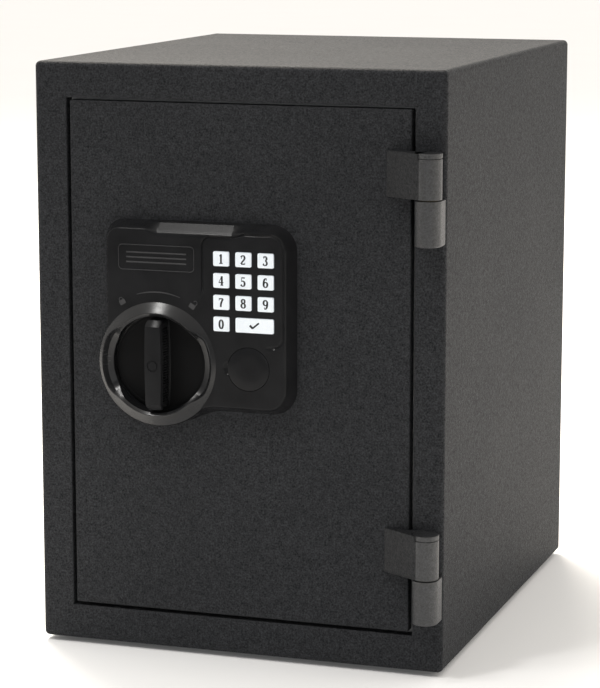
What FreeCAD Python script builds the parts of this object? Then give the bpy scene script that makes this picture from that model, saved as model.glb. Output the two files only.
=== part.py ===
import FreeCAD, Part
import math
import os
import re

import Sketcher
from FreeCAD import Placement, Rotation, Vector

# A small fire-resistant safe with an electronic lock, built as separate pieces.
# Case frame used while building: X from the case's left side, Y from the front face
# towards the back (negative in front of it), Z up from the underside of the case.
# Every piece is then moved so that the origin is at the bottom centre of the whole safe.

sizes = [
    ("case_width", 360.0), ("case_depth", 435.0), ("case_height", 500.0),
    ("case_round", 4.5), ("case_sheet", 1.6), ("foot_height", 4.0),
    ("foot_radius", 12.0), ("foot_inset", 36.0),
    ("back_rim", 14.0), ("back_sheet", 1.5),
    ("grip_out", 25.0),
    # front frame and its opening
    ("open_left", 29.0), ("open_right", 334.0), ("open_bottom", 30.5), ("open_top", 470.0),
    ("lip_depth", 12.0), ("lip_round", 1.0),
    # jamb
    ("throat_left", 38.0), ("throat_right", 325.0), ("throat_bottom", 39.5), ("throat_top", 462.0),
    ("jamb_wall", 2.0), ("jamb_back", 50.0), ("jamb_margin", 3.0),
    # inner liner
    ("liner_left", 42.0), ("liner_right", 318.0), ("liner_bottom", 44.0), ("liner_top", 456.0),
    ("liner_back", 393.0), ("liner_sheet", 1.2), ("liner_round", 7.0),
    # shelf
    ("shelf_level", 249.0), ("shelf_sheet", 1.5), ("shelf_front", 70.0), ("shelf_back", 380.0),
    ("shelf_lip", 12.0), ("stud_radius", 4.0), ("stud_length", 7.0),
    # anchor sleeves through the base
    ("anchor_pitch", 140.0), ("anchor_hole", 6.0), ("anchor_outer", 8.0), ("anchor_depth", 200.0),
    # door leaf
    ("door_left", 32.0), ("door_right", 330.8), ("door_bottom", 33.5), ("door_top", 468.0),
    ("pan_depth", 9.5), ("pan_sheet", 1.6), ("pan_round", 1.2),
    ("plug_left", 44.5), ("plug_right", 319.5), ("plug_bottom", 44.0), ("plug_top", 457.5),
    ("tray_back", 43.5), ("tray_sheet", 1.5), ("tray_rim", 12.0), ("cover_back", 45.0),
    ("filler_back", 22.0), ("plate_back", 24.0),
    ("gasket_thick", 2.2), ("gasket_width", 4.0),
    ("screw_hole", 2.2), ("screw_shank", 2.0), ("screw_head", 4.0),
    # hinges
    ("hinge_across", 348.5), ("hinge_out", 11.5), ("knuckle_radius", 11.0),
    ("knuckle_height", 37.3), ("hinge_gap", 1.0), ("upper_parting", 396.8), ("lower_parting", 83.6),
    ("strap_left", 310.0), ("pin_radius", 4.0), ("pin_play", 0.05), ("washer_thick", 0.6),
    ("washer_radius", 8.0), ("cap_thick", 4.0), ("cap_gap", 0.4),
    # boltwork
    ("bolt_low", 130.0), ("bolt_middle", 250.0), ("bolt_high", 370.0), ("bolt_depth", 33.0),
    ("bolt_radius", 6.0), ("bolt_tip", 45.5), ("bolt_tail", 84.0), ("bush_outer", 8.6),
    ("bush_play", 0.08), ("bolt_throw", 18.0), ("dead_radius", 5.0), ("dead_tip", 331.0),
    ("carrier_sheet", 3.0), ("arm_low", 259.5), ("arm_high", 278.0), ("arm_front", 31.5),
    ("arm_back", 34.5), ("arm_right", 166.0), ("crank_reach", 18.0), ("crank_pin", 3.0),
    ("slot_play", 0.45), ("plunger_across", 140.0), ("plunger_radius", 3.0), ("plunger_tip", 258.5),
    # lock housing
    ("bezel_left", 64.0), ("bezel_right", 233.7), ("bezel_bottom", 210.4), ("bezel_top", 370.0),
    ("bezel_face", 14.0), ("bezel_slope", 23.2), ("bezel_wall", 2.2),
    ("bezel_round_left", 17.0), ("bezel_round_right", 22.0),
    ("dial_across", 114.5), ("dial_up", 250.0), ("ring_outer", 54.5), ("ring_crest", 20.0),
    ("well_radius", 41.0), ("well_floor", 2.0),
    ("dial_radius", 40.0), ("dial_back", 2.4), ("dial_face", 4.6),
    ("grip_length", 76.0), ("grip_half", 7.5), ("grip_end_half", 6.6), ("grip_foot_half", 8.5),
    ("spindle_radius", 5.0), ("spindle_play", 0.05), ("spindle_hole", 8.0),
    ("lock_across", 195.6), ("lock_up", 250.0), ("lock_radius", 11.0), ("lock_plug", 6.0),
    ("cover_radius", 18.2), ("cover_gap", 0.35), ("cover_seat", 8.0),
    # keypad
    ("key_left", 165.1), ("key_low", 280.9), ("key_wide", 14.0), ("key_tall", 12.2),
    ("key_pitch_across", 19.45), ("key_pitch_up", 18.2), ("key_top", 14.8), ("key_foot", 10.8),
    ("key_flange", 0.8), ("key_gap", 0.35), ("key_travel", 1.0),
    # battery box
    ("cell_radius", 7.1), ("cell_length", 50.5), ("box_left", 204.0), ("box_low", 118.0),
    ("box_wide", 66.0), ("box_tall", 58.0), ("box_wall", 1.5),
]

doc = FreeCAD.newDocument("safe")
sheet = doc.addObject("Spreadsheet::Sheet", "sizes")
for row, (name, value) in enumerate(sizes, 1):
    sheet.set(f"A{row}", name)
    sheet.set(f"B{row}", str(value))
    sheet.setAlias(f"B{row}", name)
doc.recompute()
mm = {name: float(sheet.get(name)) for name, value in sizes}
nodes = {}


def formula(text):
    """Turn bare size names into references to the sheet."""
    return re.sub(r"[a-z]+(?:_[a-z]+)+", lambda m: "sizes." + m.group(0), str(text))


def bind(thing, prop, text):
    thing.setExpression(prop, formula(text))


def register(name, thing):
    """Name a finished piece and move it from the case frame to the safe's own frame."""
    if thing.TypeId in ("Part::Box", "Part::Cylinder"):
        thing = several(thing)
    thing.Label = name
    bind(thing, "Placement.Base.x", "-case_width / 2")
    bind(thing, "Placement.Base.y", "(grip_out - case_depth) / 2")
    bind(thing, "Placement.Base.z", "foot_height")
    nodes[name] = thing
    return thing


# ---- plain solids and booleans

def block(x0, x1, y0, y1, z0, z1):
    b = doc.addObject("Part::Box", "Block")
    for prop, low, high in (("Length", x0, x1), ("Width", y0, y1), ("Height", z0, z1)):
        bind(b, prop, f"({high}) - ({low})")
    for axis, low in (("x", x0), ("y", y0), ("z", z0)):
        bind(b, f"Placement.Base.{axis}", low)
    return b


turns = {
    "x": Rotation(Vector(0, 1, 0), 90),
    "y": Rotation(Vector(1, 0, 0), -90),
    "z": Rotation(),
}


def rod(axis, x, y, z, radius, length):
    """Cylinder that starts at (x, y, z) and runs along the positive axis."""
    c = doc.addObject("Part::Cylinder", "Rod")
    c.Placement = Placement(Vector(), turns[axis])
    bind(c, "Radius", radius)
    bind(c, "Height", length)
    for prop, low in (("x", x), ("y", y), ("z", z)):
        bind(c, f"Placement.Base.{prop}", low)
    return c


def joined(*parts):
    if len(parts) == 1:
        return parts[0]
    f = doc.addObject("Part::MultiFuse", "Union")
    f.Shapes = list(parts)
    return f


def minus(base, *tools):
    c = doc.addObject("Part::Cut", "Cut")
    c.Base = base
    c.Tool = joined(*tools)
    return c


def several(*parts):
    g = doc.addObject("Part::Compound", "Group")
    g.Links = list(parts)
    return g


# ---- bodies with sketches

def body(name):
    b = doc.addObject("PartDesign::Body", name)
    return b


def sketchOn(owner, role, offset="0"):
    s = owner.newObject("Sketcher::SketchObject", "Sketch")
    plane = [f for f in owner.Origin.OriginFeatures if f.Role == role][0]
    s.AttachmentSupport = [(plane, "")]
    s.MapMode = "FlatFace"
    bind(s, "AttachmentOffset.Base.z", offset)
    return s


def measure(text):
    """Value of a plain size formula, used only to draw a sketch near its final shape."""
    probe = doc.getObject("Probe") or doc.addObject("Part::Vertex", "Probe")
    probe.setExpression("X", formula(text))
    probe.recompute()
    return probe.X.Value if hasattr(probe.X, "Value") else float(probe.X)


def polygon(s, points):
    start = s.GeometryCount
    spots = [Vector(measure(x), measure(y), 0) for x, y in points]
    count = len(spots)
    for i in range(count):
        s.addGeometry(Part.LineSegment(spots[i], spots[(i + 1) % count]), False)
    for i in range(count):
        s.addConstraint(Sketcher.Constraint("Coincident", start + i, 2, start + (i + 1) % count, 1))
    for i, (x, y) in enumerate(points):
        if str(x) == "0":
            s.addConstraint(Sketcher.Constraint("PointOnObject", start + i, 1, -2))
        else:
            c = s.addConstraint(Sketcher.Constraint("DistanceX", -1, 1, start + i, 1, spots[i].x))
            s.setExpression(f"Constraints[{c}]", formula(x))
        if str(y) == "0":
            s.addConstraint(Sketcher.Constraint("PointOnObject", start + i, 1, -1))
        else:
            c = s.addConstraint(Sketcher.Constraint("DistanceY", -1, 1, start + i, 1, spots[i].y))
            s.setExpression(f"Constraints[{c}]", formula(y))


def rectangle(s, x0, x1, y0, y1):
    polygon(s, [(x0, y0), (x1, y0), (x1, y1), (x0, y1)])


def rounded(s, x0, x1, y0, y1, radius):
    """Rectangle whose four corners are tangent arcs."""
    left, right, low, high, r = (measure(t) for t in (x0, x1, y0, y1, radius))
    first = s.GeometryCount
    corners = [(right - r, low + r), (right - r, high - r), (left + r, high - r), (left + r, low + r)]
    sides = [((left + r, low), (right - r, low)), ((right, low + r), (right, high - r)),
             ((right - r, high), (left + r, high)), ((left, high - r), (left, low + r))]
    for i in range(4):
        a, b = sides[i]
        s.addGeometry(Part.LineSegment(Vector(*a, 0), Vector(*b, 0)), False)
        ring = Part.Circle(Vector(*corners[i], 0), Vector(0, 0, 1), r)
        s.addGeometry(Part.ArcOfCircle(ring, (i - 1) * math.pi / 2, i * math.pi / 2), False)
    for i in range(4):
        line, arc = first + 2 * i, first + 2 * i + 1
        s.addConstraint(Sketcher.Constraint("Tangent", line, 2, arc, 1))
        s.addConstraint(Sketcher.Constraint("Tangent", arc, 2, first + (2 * i + 2) % 8, 1))
        s.addConstraint(Sketcher.Constraint("Horizontal" if i % 2 == 0 else "Vertical", line))
        if i:
            s.addConstraint(Sketcher.Constraint("Equal", first + 1, arc))
    c = s.addConstraint(Sketcher.Constraint("Radius", first + 1, r))
    s.setExpression(f"Constraints[{c}]", formula(radius))
    for kind, line, value, text in (("DistanceY", 0, low, y0), ("DistanceX", 2, right, x1),
                                    ("DistanceY", 4, high, y1), ("DistanceX", 6, left, x0)):
        c = s.addConstraint(Sketcher.Constraint(kind, -1, 1, first + line, 1, value))
        s.setExpression(f"Constraints[{c}]", formula(text))


def circle(s, x, y, radius):
    g = s.addGeometry(Part.Circle(Vector(measure(x), measure(y), 0), Vector(0, 0, 1), measure(radius)), False)
    c = s.addConstraint(Sketcher.Constraint("Radius", g, measure(radius)))
    s.setExpression(f"Constraints[{c}]", formula(radius))
    c = s.addConstraint(Sketcher.Constraint("DistanceX", -1, 1, g, 3, measure(x)))
    s.setExpression(f"Constraints[{c}]", formula(x))
    c = s.addConstraint(Sketcher.Constraint("DistanceY", -1, 1, g, 3, measure(y)))
    s.setExpression(f"Constraints[{c}]", formula(y))


def feature(owner, kind, profile, length, backwards=False):
    f = owner.newObject(f"PartDesign::{kind}", kind)
    f.Profile = profile
    bind(f, "Length", length)
    f.Reversed = backwards
    owner.Tip = f
    return f


def padBack(owner, y0, y1, draw):
    """Material from depth y0 to depth y1, drawn on a plane facing the front."""
    s = sketchOn(owner, "XZ_Plane", f"-({y0})")
    draw(s)
    return feature(owner, "Pad", s, f"({y1}) - ({y0})", True)


def pocketBack(owner, y0, y1, draw):
    s = sketchOn(owner, "XZ_Plane", f"-({y0})")
    draw(s)
    return feature(owner, "Pocket", s, f"({y1}) - ({y0})", False)


def padUp(owner, z0, z1, draw):
    s = sketchOn(owner, "XY_Plane", z0)
    draw(s)
    return feature(owner, "Pad", s, f"({z1}) - ({z0})", False)


def pocketUp(owner, z0, z1, draw):
    s = sketchOn(owner, "XY_Plane", z0)
    draw(s)
    return feature(owner, "Pocket", s, f"({z1}) - ({z0})", True)


def soften(owner, radius, pick, kind="Fillet"):
    """Round or chamfer every edge of the body's tip that pick accepts."""
    doc.recompute()
    base = owner.Tip
    names = [f"Edge{i}" for i, e in enumerate(base.Shape.Edges, 1) if pick(e)]
    if not names:
        raise RuntimeError(f"no edges to round on {owner.Name}")
    f = owner.newObject(f"PartDesign::{kind}", kind)
    f.Base = (base, names)
    bind(f, "Radius" if kind == "Fillet" else "Size", radius)
    owner.Tip = f
    return f


def runs(edge, axis):
    """True when a straight edge runs mainly along the axis, given as 0, 1 or 2."""
    if len(edge.Vertexes) != 2:
        return False
    chord = edge.Vertexes[1].Point - edge.Vertexes[0].Point
    straight = abs(edge.Length - chord.Length) < 1e-4
    return straight and abs((chord.x, chord.y, chord.z)[axis]) > 0.8 * edge.Length


def within(edge, axis, low, high):
    box = edge.BoundBox
    lows = (box.XMin, box.YMin, box.ZMin)
    highs = (box.XMax, box.YMax, box.ZMax)
    return lows[axis] >= low - 1e-4 and highs[axis] <= high + 1e-4


# ---- cabinet: outer case, back panel, filling, liner, jamb

bolts = ("bolt_low", "bolt_middle", "bolt_high")
anchors = ("case_width / 2 - anchor_pitch / 2", "case_width / 2 + anchor_pitch / 2")

case = body("outer_case")
padBack(case, "0", "case_depth", lambda s: rectangle(s, "0", "case_width", "0", "case_height"))
soften(case, "case_round", lambda e: True)
pocketBack(case, "case_sheet", "case_depth - case_sheet", lambda s: rounded(
    s, "case_sheet", "case_width - case_sheet", "case_sheet", "case_height - case_sheet",
    "case_round - case_sheet"))
pocketBack(case, "0", "case_sheet", lambda s: rectangle(s, "open_left", "open_right", "open_bottom", "open_top"))
pocketBack(case, "case_depth - case_sheet", "case_depth", lambda s: rectangle(
    s, "back_rim", "case_width - back_rim", "back_rim", "case_height - back_rim"))


def lipRing(s):
    rectangle(s, "open_left - case_sheet", "open_right + case_sheet",
              "open_bottom - case_sheet", "open_top + case_sheet")
    rectangle(s, "open_left", "open_right", "open_bottom", "open_top")


padBack(case, "0.5", "lip_depth", lipRing)
soften(case, "lip_round", lambda e: within(e, 1, 0, 0) and within(e, 0, 20, 340) and within(e, 2, 20, 480))


def anchorHoles(s):
    for x in anchors:
        circle(s, x, "anchor_depth", "anchor_outer")


pocketUp(case, "0", "case_sheet", anchorHoles)
register("outer_case", case)

panelEdge = "case_sheet + 1.6"
backPanel = body("back_panel")
padBack(backPanel, "case_depth - case_sheet - back_sheet", "case_depth - case_sheet", lambda s: rectangle(
    s, panelEdge, f"case_width - ({panelEdge})", panelEdge, f"case_height - ({panelEdge})"))
soften(backPanel, "case_round - case_sheet", lambda e: runs(e, 1))
register("back_panel", backPanel)

filling = body("cabinet_insulation")
padBack(filling, "case_sheet", "case_depth - case_sheet - back_sheet", lambda s: rectangle(
    s, "case_sheet", "case_width - case_sheet", "case_sheet", "case_height - case_sheet"))
soften(filling, "case_round", lambda e: runs(e, 1))
jambBox = ("throat_left - jamb_wall", "throat_right + jamb_wall",
           "throat_bottom - jamb_wall", "throat_top + jamb_wall")
landBox = ("open_left - jamb_margin", "open_right + jamb_margin",
           "open_bottom - jamb_margin", "open_top + jamb_margin")
pocketBack(filling, "case_sheet", "lip_depth + jamb_wall", lambda s: rectangle(s, *landBox))
pocketBack(filling, "lip_depth", "jamb_back", lambda s: rectangle(s, *jambBox))
linerBox = ("liner_left - liner_sheet", "liner_right + liner_sheet",
            "liner_bottom - liner_sheet", "liner_top + liner_sheet")
pocketBack(filling, "jamb_back", "liner_back + liner_sheet", lambda s: rectangle(s, *linerBox))


def strikePockets(s, x0, x1):
    for z in bolts:
        rectangle(s, x0, x1, f"{z} - 12", f"{z} + 12")


pocketBack(filling, "bolt_depth - 11", "bolt_depth + 11",
           lambda s: strikePockets(s, "throat_left - 16", "throat_left - jamb_wall + 0.5"))
pocketBack(filling, "bolt_depth - 11", "bolt_depth + 11",
           lambda s: strikePockets(s, "throat_right + jamb_wall - 0.5", "throat_right + 14"))
pocketUp(filling, "case_sheet", "liner_bottom", anchorHoles)
register("cabinet_insulation", filling)

liner = body("inner_liner")
padBack(liner, "jamb_back", "liner_back + liner_sheet", lambda s: rounded(s, *linerBox, "liner_round"))
pocketBack(liner, "jamb_back", "liner_back", lambda s: rounded(
    s, "liner_left", "liner_right", "liner_bottom", "liner_top", "liner_round - liner_sheet"))
pocketUp(liner, "liner_bottom - liner_sheet", "liner_bottom", lambda s: [
    circle(s, x, "anchor_depth", "anchor_outer") for x in anchors])
register("inner_liner", liner)

jamb = body("door_jamb")
padBack(jamb, "lip_depth", "lip_depth + jamb_wall", lambda s: rectangle(s, *landBox))
padBack(jamb, "lip_depth + jamb_wall", "jamb_back", lambda s: rectangle(s, *jambBox))
pocketBack(jamb, "lip_depth", "jamb_back - jamb_wall", lambda s: rectangle(
    s, "throat_left", "throat_right", "throat_bottom", "throat_top"))
pocketBack(jamb, "jamb_back - jamb_wall", "jamb_back", lambda s: rectangle(
    s, "liner_left", "liner_right", "liner_bottom", "liner_top"))
sideHoles = sketchOn(jamb, "YZ_Plane", "throat_left - jamb_wall")
for z in bolts:
    circle(sideHoles, "bolt_depth", z, "bolt_radius + 1.2")
feature(jamb, "Pocket", sideHoles, "jamb_wall", True)
hingeHoles = sketchOn(jamb, "YZ_Plane", "throat_right")
for z in bolts:
    rectangle(hingeHoles, "bolt_depth - 10", "bolt_depth + 10", f"{z} - 8", f"{z} + 8")
feature(jamb, "Pocket", hingeHoles, "jamb_wall", True)
register("door_jamb", jamb)

footSpots = [(x, y) for x in ("foot_inset", "case_width - foot_inset")
             for y in ("foot_inset", "case_depth - foot_inset")]
register("feet", several(*[rod("z", x, y, "-foot_height", "foot_radius", "foot_height")
                           for x, y in footSpots]))

register("anchor_sleeves", several(*[
    minus(rod("z", x, "anchor_depth", "0", "anchor_outer", "liner_bottom"),
          rod("z", x, "anchor_depth", "-1", "anchor_hole", "liner_bottom + 2")) for x in anchors]))

shelf = body("shelf")
padBack(shelf, "shelf_front", "shelf_back", lambda s: rectangle(
    s, "liner_left + 1", "liner_right - 1", "shelf_level", "shelf_level + shelf_sheet"))
padBack(shelf, "shelf_front", "shelf_front + shelf_sheet", lambda s: rectangle(
    s, "liner_left + 9", "liner_right - 9", "shelf_level - shelf_lip", "shelf_level + shelf_sheet"))
register("shelf", shelf)

studs = []
for y in ("shelf_front + 30", "shelf_back - 30"):
    for x in ("liner_left", "liner_right - stud_length"):
        studs.append(rod("x", x, y, "shelf_level - stud_radius", "stud_radius", "stud_length"))
register("shelf_supports", several(*studs))

# ---- hinges

partings = {"upper": "upper_parting", "lower": "lower_parting"}
pins = []
washers = []
caps = []
startX, startY = mm["strap_left"] + 0.6, -1.6
dx, dy = mm["hinge_across"] - startX, -mm["hinge_out"] - startY
reach = math.hypot(dx, dy)
swing = math.atan2(dy, dx) - math.asin(mm["knuckle_radius"] / reach)
along = math.sqrt(reach ** 2 - mm["knuckle_radius"] ** 2)
touch = (startX + along * math.cos(swing), startY + along * math.sin(swing))
for side, level in partings.items():
    barrel = body(f"{side}_frame_barrel")
    low = f"{level} - hinge_gap / 2 - knuckle_height"
    high = f"{level} - hinge_gap / 2"
    padUp(barrel, low, high, lambda s: circle(s, "hinge_across", "-hinge_out", "knuckle_radius"))
    padUp(barrel, low, high, lambda s: polygon(s, [
        ("hinge_across - knuckle_radius", "-hinge_out"), ("hinge_across - knuckle_radius - 0.6", "0"),
        ("hinge_across + knuckle_radius", "0"), ("hinge_across + knuckle_radius", "-hinge_out")]))
    soften(barrel, "1.6", lambda e: within(e, 1, -40, -0.5) and e.BoundBox.ZLength < 0.01
           and e.BoundBox.ZMin < measure(low) + 1)
    pocketUp(barrel, low, high, lambda s: circle(s, "hinge_across", "-hinge_out", "pin_radius"))
    register(f"{side}_frame_barrel", barrel)

    strap = body(f"{side}_strap")
    base = f"{level} + hinge_gap / 2"
    top = f"{level} + hinge_gap / 2 + knuckle_height"
    padUp(strap, base, top, lambda s: polygon(s, [
        ("strap_left", "0"), ("door_right - 0.2", "0"), ("door_right + 1.2", "-0.8"),
        ("hinge_across - 3.5", "-0.8"), ("hinge_across", "-hinge_out"),
        (touch[0], touch[1]), (startX, startY), ("strap_left", "-0.6")]))
    padUp(strap, base, top, lambda s: circle(s, "hinge_across", "-hinge_out", "knuckle_radius"))
    pocketUp(strap, f"{top} - cap_thick", top,
             lambda s: circle(s, "hinge_across", "-hinge_out", "knuckle_radius + cap_gap"))
    pocketUp(strap, base, f"{top} - cap_thick",
             lambda s: circle(s, "hinge_across", "-hinge_out", "pin_radius + pin_play"))
    register(f"{side}_strap", strap)

    pins.append(rod("z", "hinge_across", "-hinge_out", f"{low} + 3", "pin_radius",
                    "2 * knuckle_height + hinge_gap - cap_thick - 11"))
    washers.append(minus(rod("z", "hinge_across", "-hinge_out", high, "washer_radius", "washer_thick"),
                         rod("z", "hinge_across", "-hinge_out", f"{high} - 1", "pin_radius + 0.2", "4")))
    caps.append(joined(rod("z", "hinge_across", "-hinge_out", f"{top} - cap_thick + 0.3",
                           "knuckle_radius", "cap_thick - 0.3"),
                       rod("z", "hinge_across", "-hinge_out", f"{top} - cap_thick - 5",
                           "pin_radius", "5.4")))
register("hinge_pins", several(*pins))
register("thrust_washers", several(*washers))
register("hinge_caps", several(*caps))

# ---- door leaf

skin = body("door_skin")
padBack(skin, "0", "pan_depth", lambda s: rectangle(s, "door_left", "door_right", "door_bottom", "door_top"))
soften(skin, "pan_round", lambda e: within(e, 1, 0, 0) or runs(e, 1))
pocketBack(skin, "pan_sheet", "pan_depth - pan_sheet", lambda s: rectangle(
    s, "door_left + pan_sheet", "door_right - pan_sheet", "door_bottom + pan_sheet", "door_top - pan_sheet"))
pocketBack(skin, "pan_depth - pan_sheet", "pan_depth", lambda s: rectangle(
    s, "plug_left + tray_sheet", "plug_right - tray_sheet", "plug_bottom + tray_sheet", "plug_top - tray_sheet"))


def throughHoles(s, spindle, lock):
    circle(s, "dial_across", "dial_up", spindle)
    circle(s, "lock_across", "lock_up", lock)


def wireHole(s):
    circle(s, "lock_across", "lock_up + 60", "5")


pocketBack(skin, "0", "pan_sheet", lambda s: throughHoles(s, "spindle_hole", "lock_radius + 0.3"))
pocketBack(skin, "0", "pan_sheet", wireHole)
register("door_skin", skin)

doorFill = body("door_insulation")
padBack(doorFill, "pan_sheet", "pan_depth - pan_sheet", lambda s: rectangle(
    s, "door_left + pan_sheet", "door_right - pan_sheet", "door_bottom + pan_sheet", "door_top - pan_sheet"))
padBack(doorFill, "pan_depth - pan_sheet", "filler_back", lambda s: rectangle(
    s, "plug_left + tray_sheet", "plug_right - tray_sheet", "plug_bottom + tray_sheet", "plug_top - tray_sheet"))
pocketBack(doorFill, "pan_sheet", "filler_back", lambda s: throughHoles(s, "10", "lock_radius + 0.3"))
pocketBack(doorFill, "pan_sheet", "filler_back", wireHole)
register("door_insulation", doorFill)

tray = body("door_tray")
padBack(tray, "pan_depth", "tray_back", lambda s: rectangle(s, "plug_left", "plug_right", "plug_bottom", "plug_top"))
soften(tray, "1.5", lambda e: runs(e, 1))
pocketBack(tray, "pan_depth", "tray_back - tray_sheet", lambda s: rectangle(
    s, "plug_left + tray_sheet", "plug_right - tray_sheet", "plug_bottom + tray_sheet", "plug_top - tray_sheet"))
pocketBack(tray, "tray_back - tray_sheet", "tray_back", lambda s: rectangle(
    s, "plug_left + tray_rim", "plug_right - tray_rim", "plug_bottom + tray_rim", "plug_top - tray_rim"))
bushHoles = sketchOn(tray, "YZ_Plane", "plug_left")
for z in bolts:
    circle(bushHoles, "bolt_depth", z, "bush_outer")
feature(tray, "Pocket", bushHoles, "tray_sheet", True)
deadHoles = sketchOn(tray, "YZ_Plane", "plug_right - tray_sheet")
for z in bolts:
    circle(deadHoles, "bolt_depth", z, "dead_radius")
feature(tray, "Pocket", deadHoles, "tray_sheet", True)
screwSpots = [(x, z) for x in ("plug_left + 7", "plug_right - 7")
              for z in ("plug_bottom + 24", "case_height * 0.5 - 60", "case_height * 0.5 + 60", "plug_top - 24")]
screwSpots += [("case_width / 2", "plug_bottom + 7"), ("case_width / 2", "plug_top - 7")]


def screwHoles(s, radius):
    for x, z in screwSpots:
        circle(s, x, z, radius)


pocketBack(tray, "tray_back - tray_sheet", "tray_back", lambda s: screwHoles(s, "screw_shank"))
register("door_tray", tray)

boltPlate = body("bolt_plate")
padBack(boltPlate, "filler_back", "plate_back", lambda s: rectangle(
    s, "plug_left + tray_sheet", "plug_right - tray_sheet", "plug_bottom + tray_sheet", "plug_top - tray_sheet"))
pocketBack(boltPlate, "filler_back", "plate_back", lambda s: throughHoles(s, "9", "lock_radius + 0.3"))
pocketBack(boltPlate, "filler_back", "plate_back", wireHole)
register("bolt_plate", boltPlate)

lidHole = ("box_left + 1.6", "box_left + box_wide - 1.6", "box_low + 1.6", "box_low + box_tall - 1.6")
cover = body("inner_cover")
padBack(cover, "tray_back", "cover_back", lambda s: rectangle(
    s, "plug_left + 0.5", "plug_right - 0.5", "plug_bottom + 0.5", "plug_top - 0.5"))
soften(cover, "2", lambda e: runs(e, 1))
soften(cover, "0.8", lambda e: within(e, 1, mm["cover_back"], mm["cover_back"]))
pocketBack(cover, "tray_back", "cover_back", lambda s: rectangle(s, *lidHole))
pocketBack(cover, "tray_back", "cover_back", lambda s: screwHoles(s, "screw_hole"))
register("inner_cover", cover)

screws = [joined(rod("y", x, "tray_back - 6", z, "screw_shank", "cover_back - tray_back + 6"),
                 rod("y", x, "cover_back", z, "screw_head", "1.4")) for x, z in screwSpots]
register("cover_screws", several(*screws))

gasket = body("door_gasket")


def gasketRing(s):
    rectangle(s, "throat_left - 0.3 - gasket_width", "throat_right + 0.3 + gasket_width",
              "throat_bottom - 0.3 - gasket_width", "throat_top + 0.3 + gasket_width")
    rectangle(s, "throat_left - 0.3", "throat_right + 0.3", "throat_bottom - 0.3", "throat_top + 0.3")


padBack(gasket, "pan_depth", "pan_depth + gasket_thick", gasketRing)
register("door_gasket", gasket)

# ---- boltwork

bushes = []
deads = []
lives = []
nuts = []
for z in bolts:
    bushes.append(minus(
        rod("x", "plug_left", "bolt_depth", z, "bush_outer", "12"),
        rod("x", "plug_left - 1", "bolt_depth", z, "bolt_radius + bush_play", "14")))
    deads.append(joined(
        rod("x", "dead_tip - 22", "bolt_depth", z, "dead_radius", "22"),
        rod("x", "plug_right - tray_sheet - 4", "bolt_depth", z, "dead_radius + 3", "4")))
    lives.append(joined(
        rod("x", "bolt_tip", "bolt_depth", z, "bolt_radius", "bolt_tail - bolt_tip"),
        rod("x", "bolt_tail", "bolt_depth", z, "bolt_radius - 2", "carrier_sheet + 5")))
    nuts.append(minus(
        rod("x", "bolt_tail + carrier_sheet", "bolt_depth", z, "bolt_radius + 0.6", "4"),
        rod("x", "bolt_tail + carrier_sheet - 1", "bolt_depth", z, "bolt_radius - 2", "6")))
register("bolt_bushes", several(*bushes))
register("dead_bolts", several(*deads))
register("live_bolts", several(*lives))
register("bolt_nuts", several(*nuts))

carrier = body("bolt_carrier")
padBack(carrier, "bolt_depth - 7", "bolt_depth + 7", lambda s: rectangle(
    s, "bolt_tail", "bolt_tail + carrier_sheet", "bolt_low - 12", "bolt_high + 12"))
notch = "plunger_radius + 0.6"
padBack(carrier, "arm_front", "arm_back", lambda s: polygon(s, [
    ("bolt_tail + carrier_sheet", "arm_low"),
    (f"plunger_across - ({notch})", "arm_low"), (f"plunger_across - ({notch})", "arm_low + 6"),
    (f"plunger_across + {notch}", "arm_low + 6"), (f"plunger_across + {notch}", "arm_low"),
    (f"plunger_across + bolt_throw - ({notch})", "arm_low"),
    (f"plunger_across + bolt_throw - ({notch})", "arm_low + 6"),
    (f"plunger_across + bolt_throw + {notch}", "arm_low + 6"),
    (f"plunger_across + bolt_throw + {notch}", "arm_low"),
    ("arm_right", "arm_low"), ("arm_right", "arm_high"), ("bolt_tail + carrier_sheet", "arm_high")]))
pinAcross = "dial_across + crank_reach * 0.5"
pocketBack(carrier, "arm_front", "arm_back", lambda s: rectangle(
    s, f"{pinAcross} - crank_pin - slot_play", f"{pinAcross} + crank_pin + slot_play",
    "dial_up + crank_reach * 0.866 - crank_pin - 0.5", "dial_up + crank_reach + crank_pin + 0.6"))
boltHoles = sketchOn(carrier, "YZ_Plane", "bolt_tail")
for z in bolts:
    circle(boltHoles, "bolt_depth", z, "bolt_radius - 2")
feature(carrier, "Pocket", boltHoles, "carrier_sheet", True)
register("bolt_carrier", carrier)

register("spindle_bush", minus(
    rod("y", "dial_across", "filler_back - 2", "dial_up", "9", "plate_back - filler_back + 4"),
    rod("y", "dial_across", "filler_back - 3", "dial_up", "spindle_radius + spindle_play", "10")))
register("spindle", rod("y", "dial_across", "-(dial_face + 8)", "dial_up", "spindle_radius", "dial_face + 8 + 32.6"))

crank = body("crank")
crankFront = "plate_back + 2.5"
padBack(crank, crankFront, f"{crankFront} + 3.5", lambda s: circle(s, "dial_across", "dial_up", "9"))
sideway, upward = "0.866", "0.5"
padBack(crank, crankFront, f"{crankFront} + 3.5", lambda s: polygon(s, [
    (f"dial_across + 5.5 * {sideway}", f"dial_up - 5.5 * {upward}"),
    (f"dial_across + 5.5 * {sideway} + crank_reach * 0.5", f"dial_up - 5.5 * {upward} + crank_reach * 0.866"),
    (f"dial_across - 5.5 * {sideway} + crank_reach * 0.5", f"dial_up + 5.5 * {upward} + crank_reach * 0.866"),
    (f"dial_across - 5.5 * {sideway}", f"dial_up + 5.5 * {upward}")]))
padBack(crank, crankFront, f"{crankFront} + 3.5", lambda s: circle(
    s, pinAcross, "dial_up + crank_reach * 0.866", "5.5"))
padBack(crank, f"{crankFront} + 3.5", "arm_back + 1.5", lambda s: circle(
    s, pinAcross, "dial_up + crank_reach * 0.866", "crank_pin"))
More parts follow.
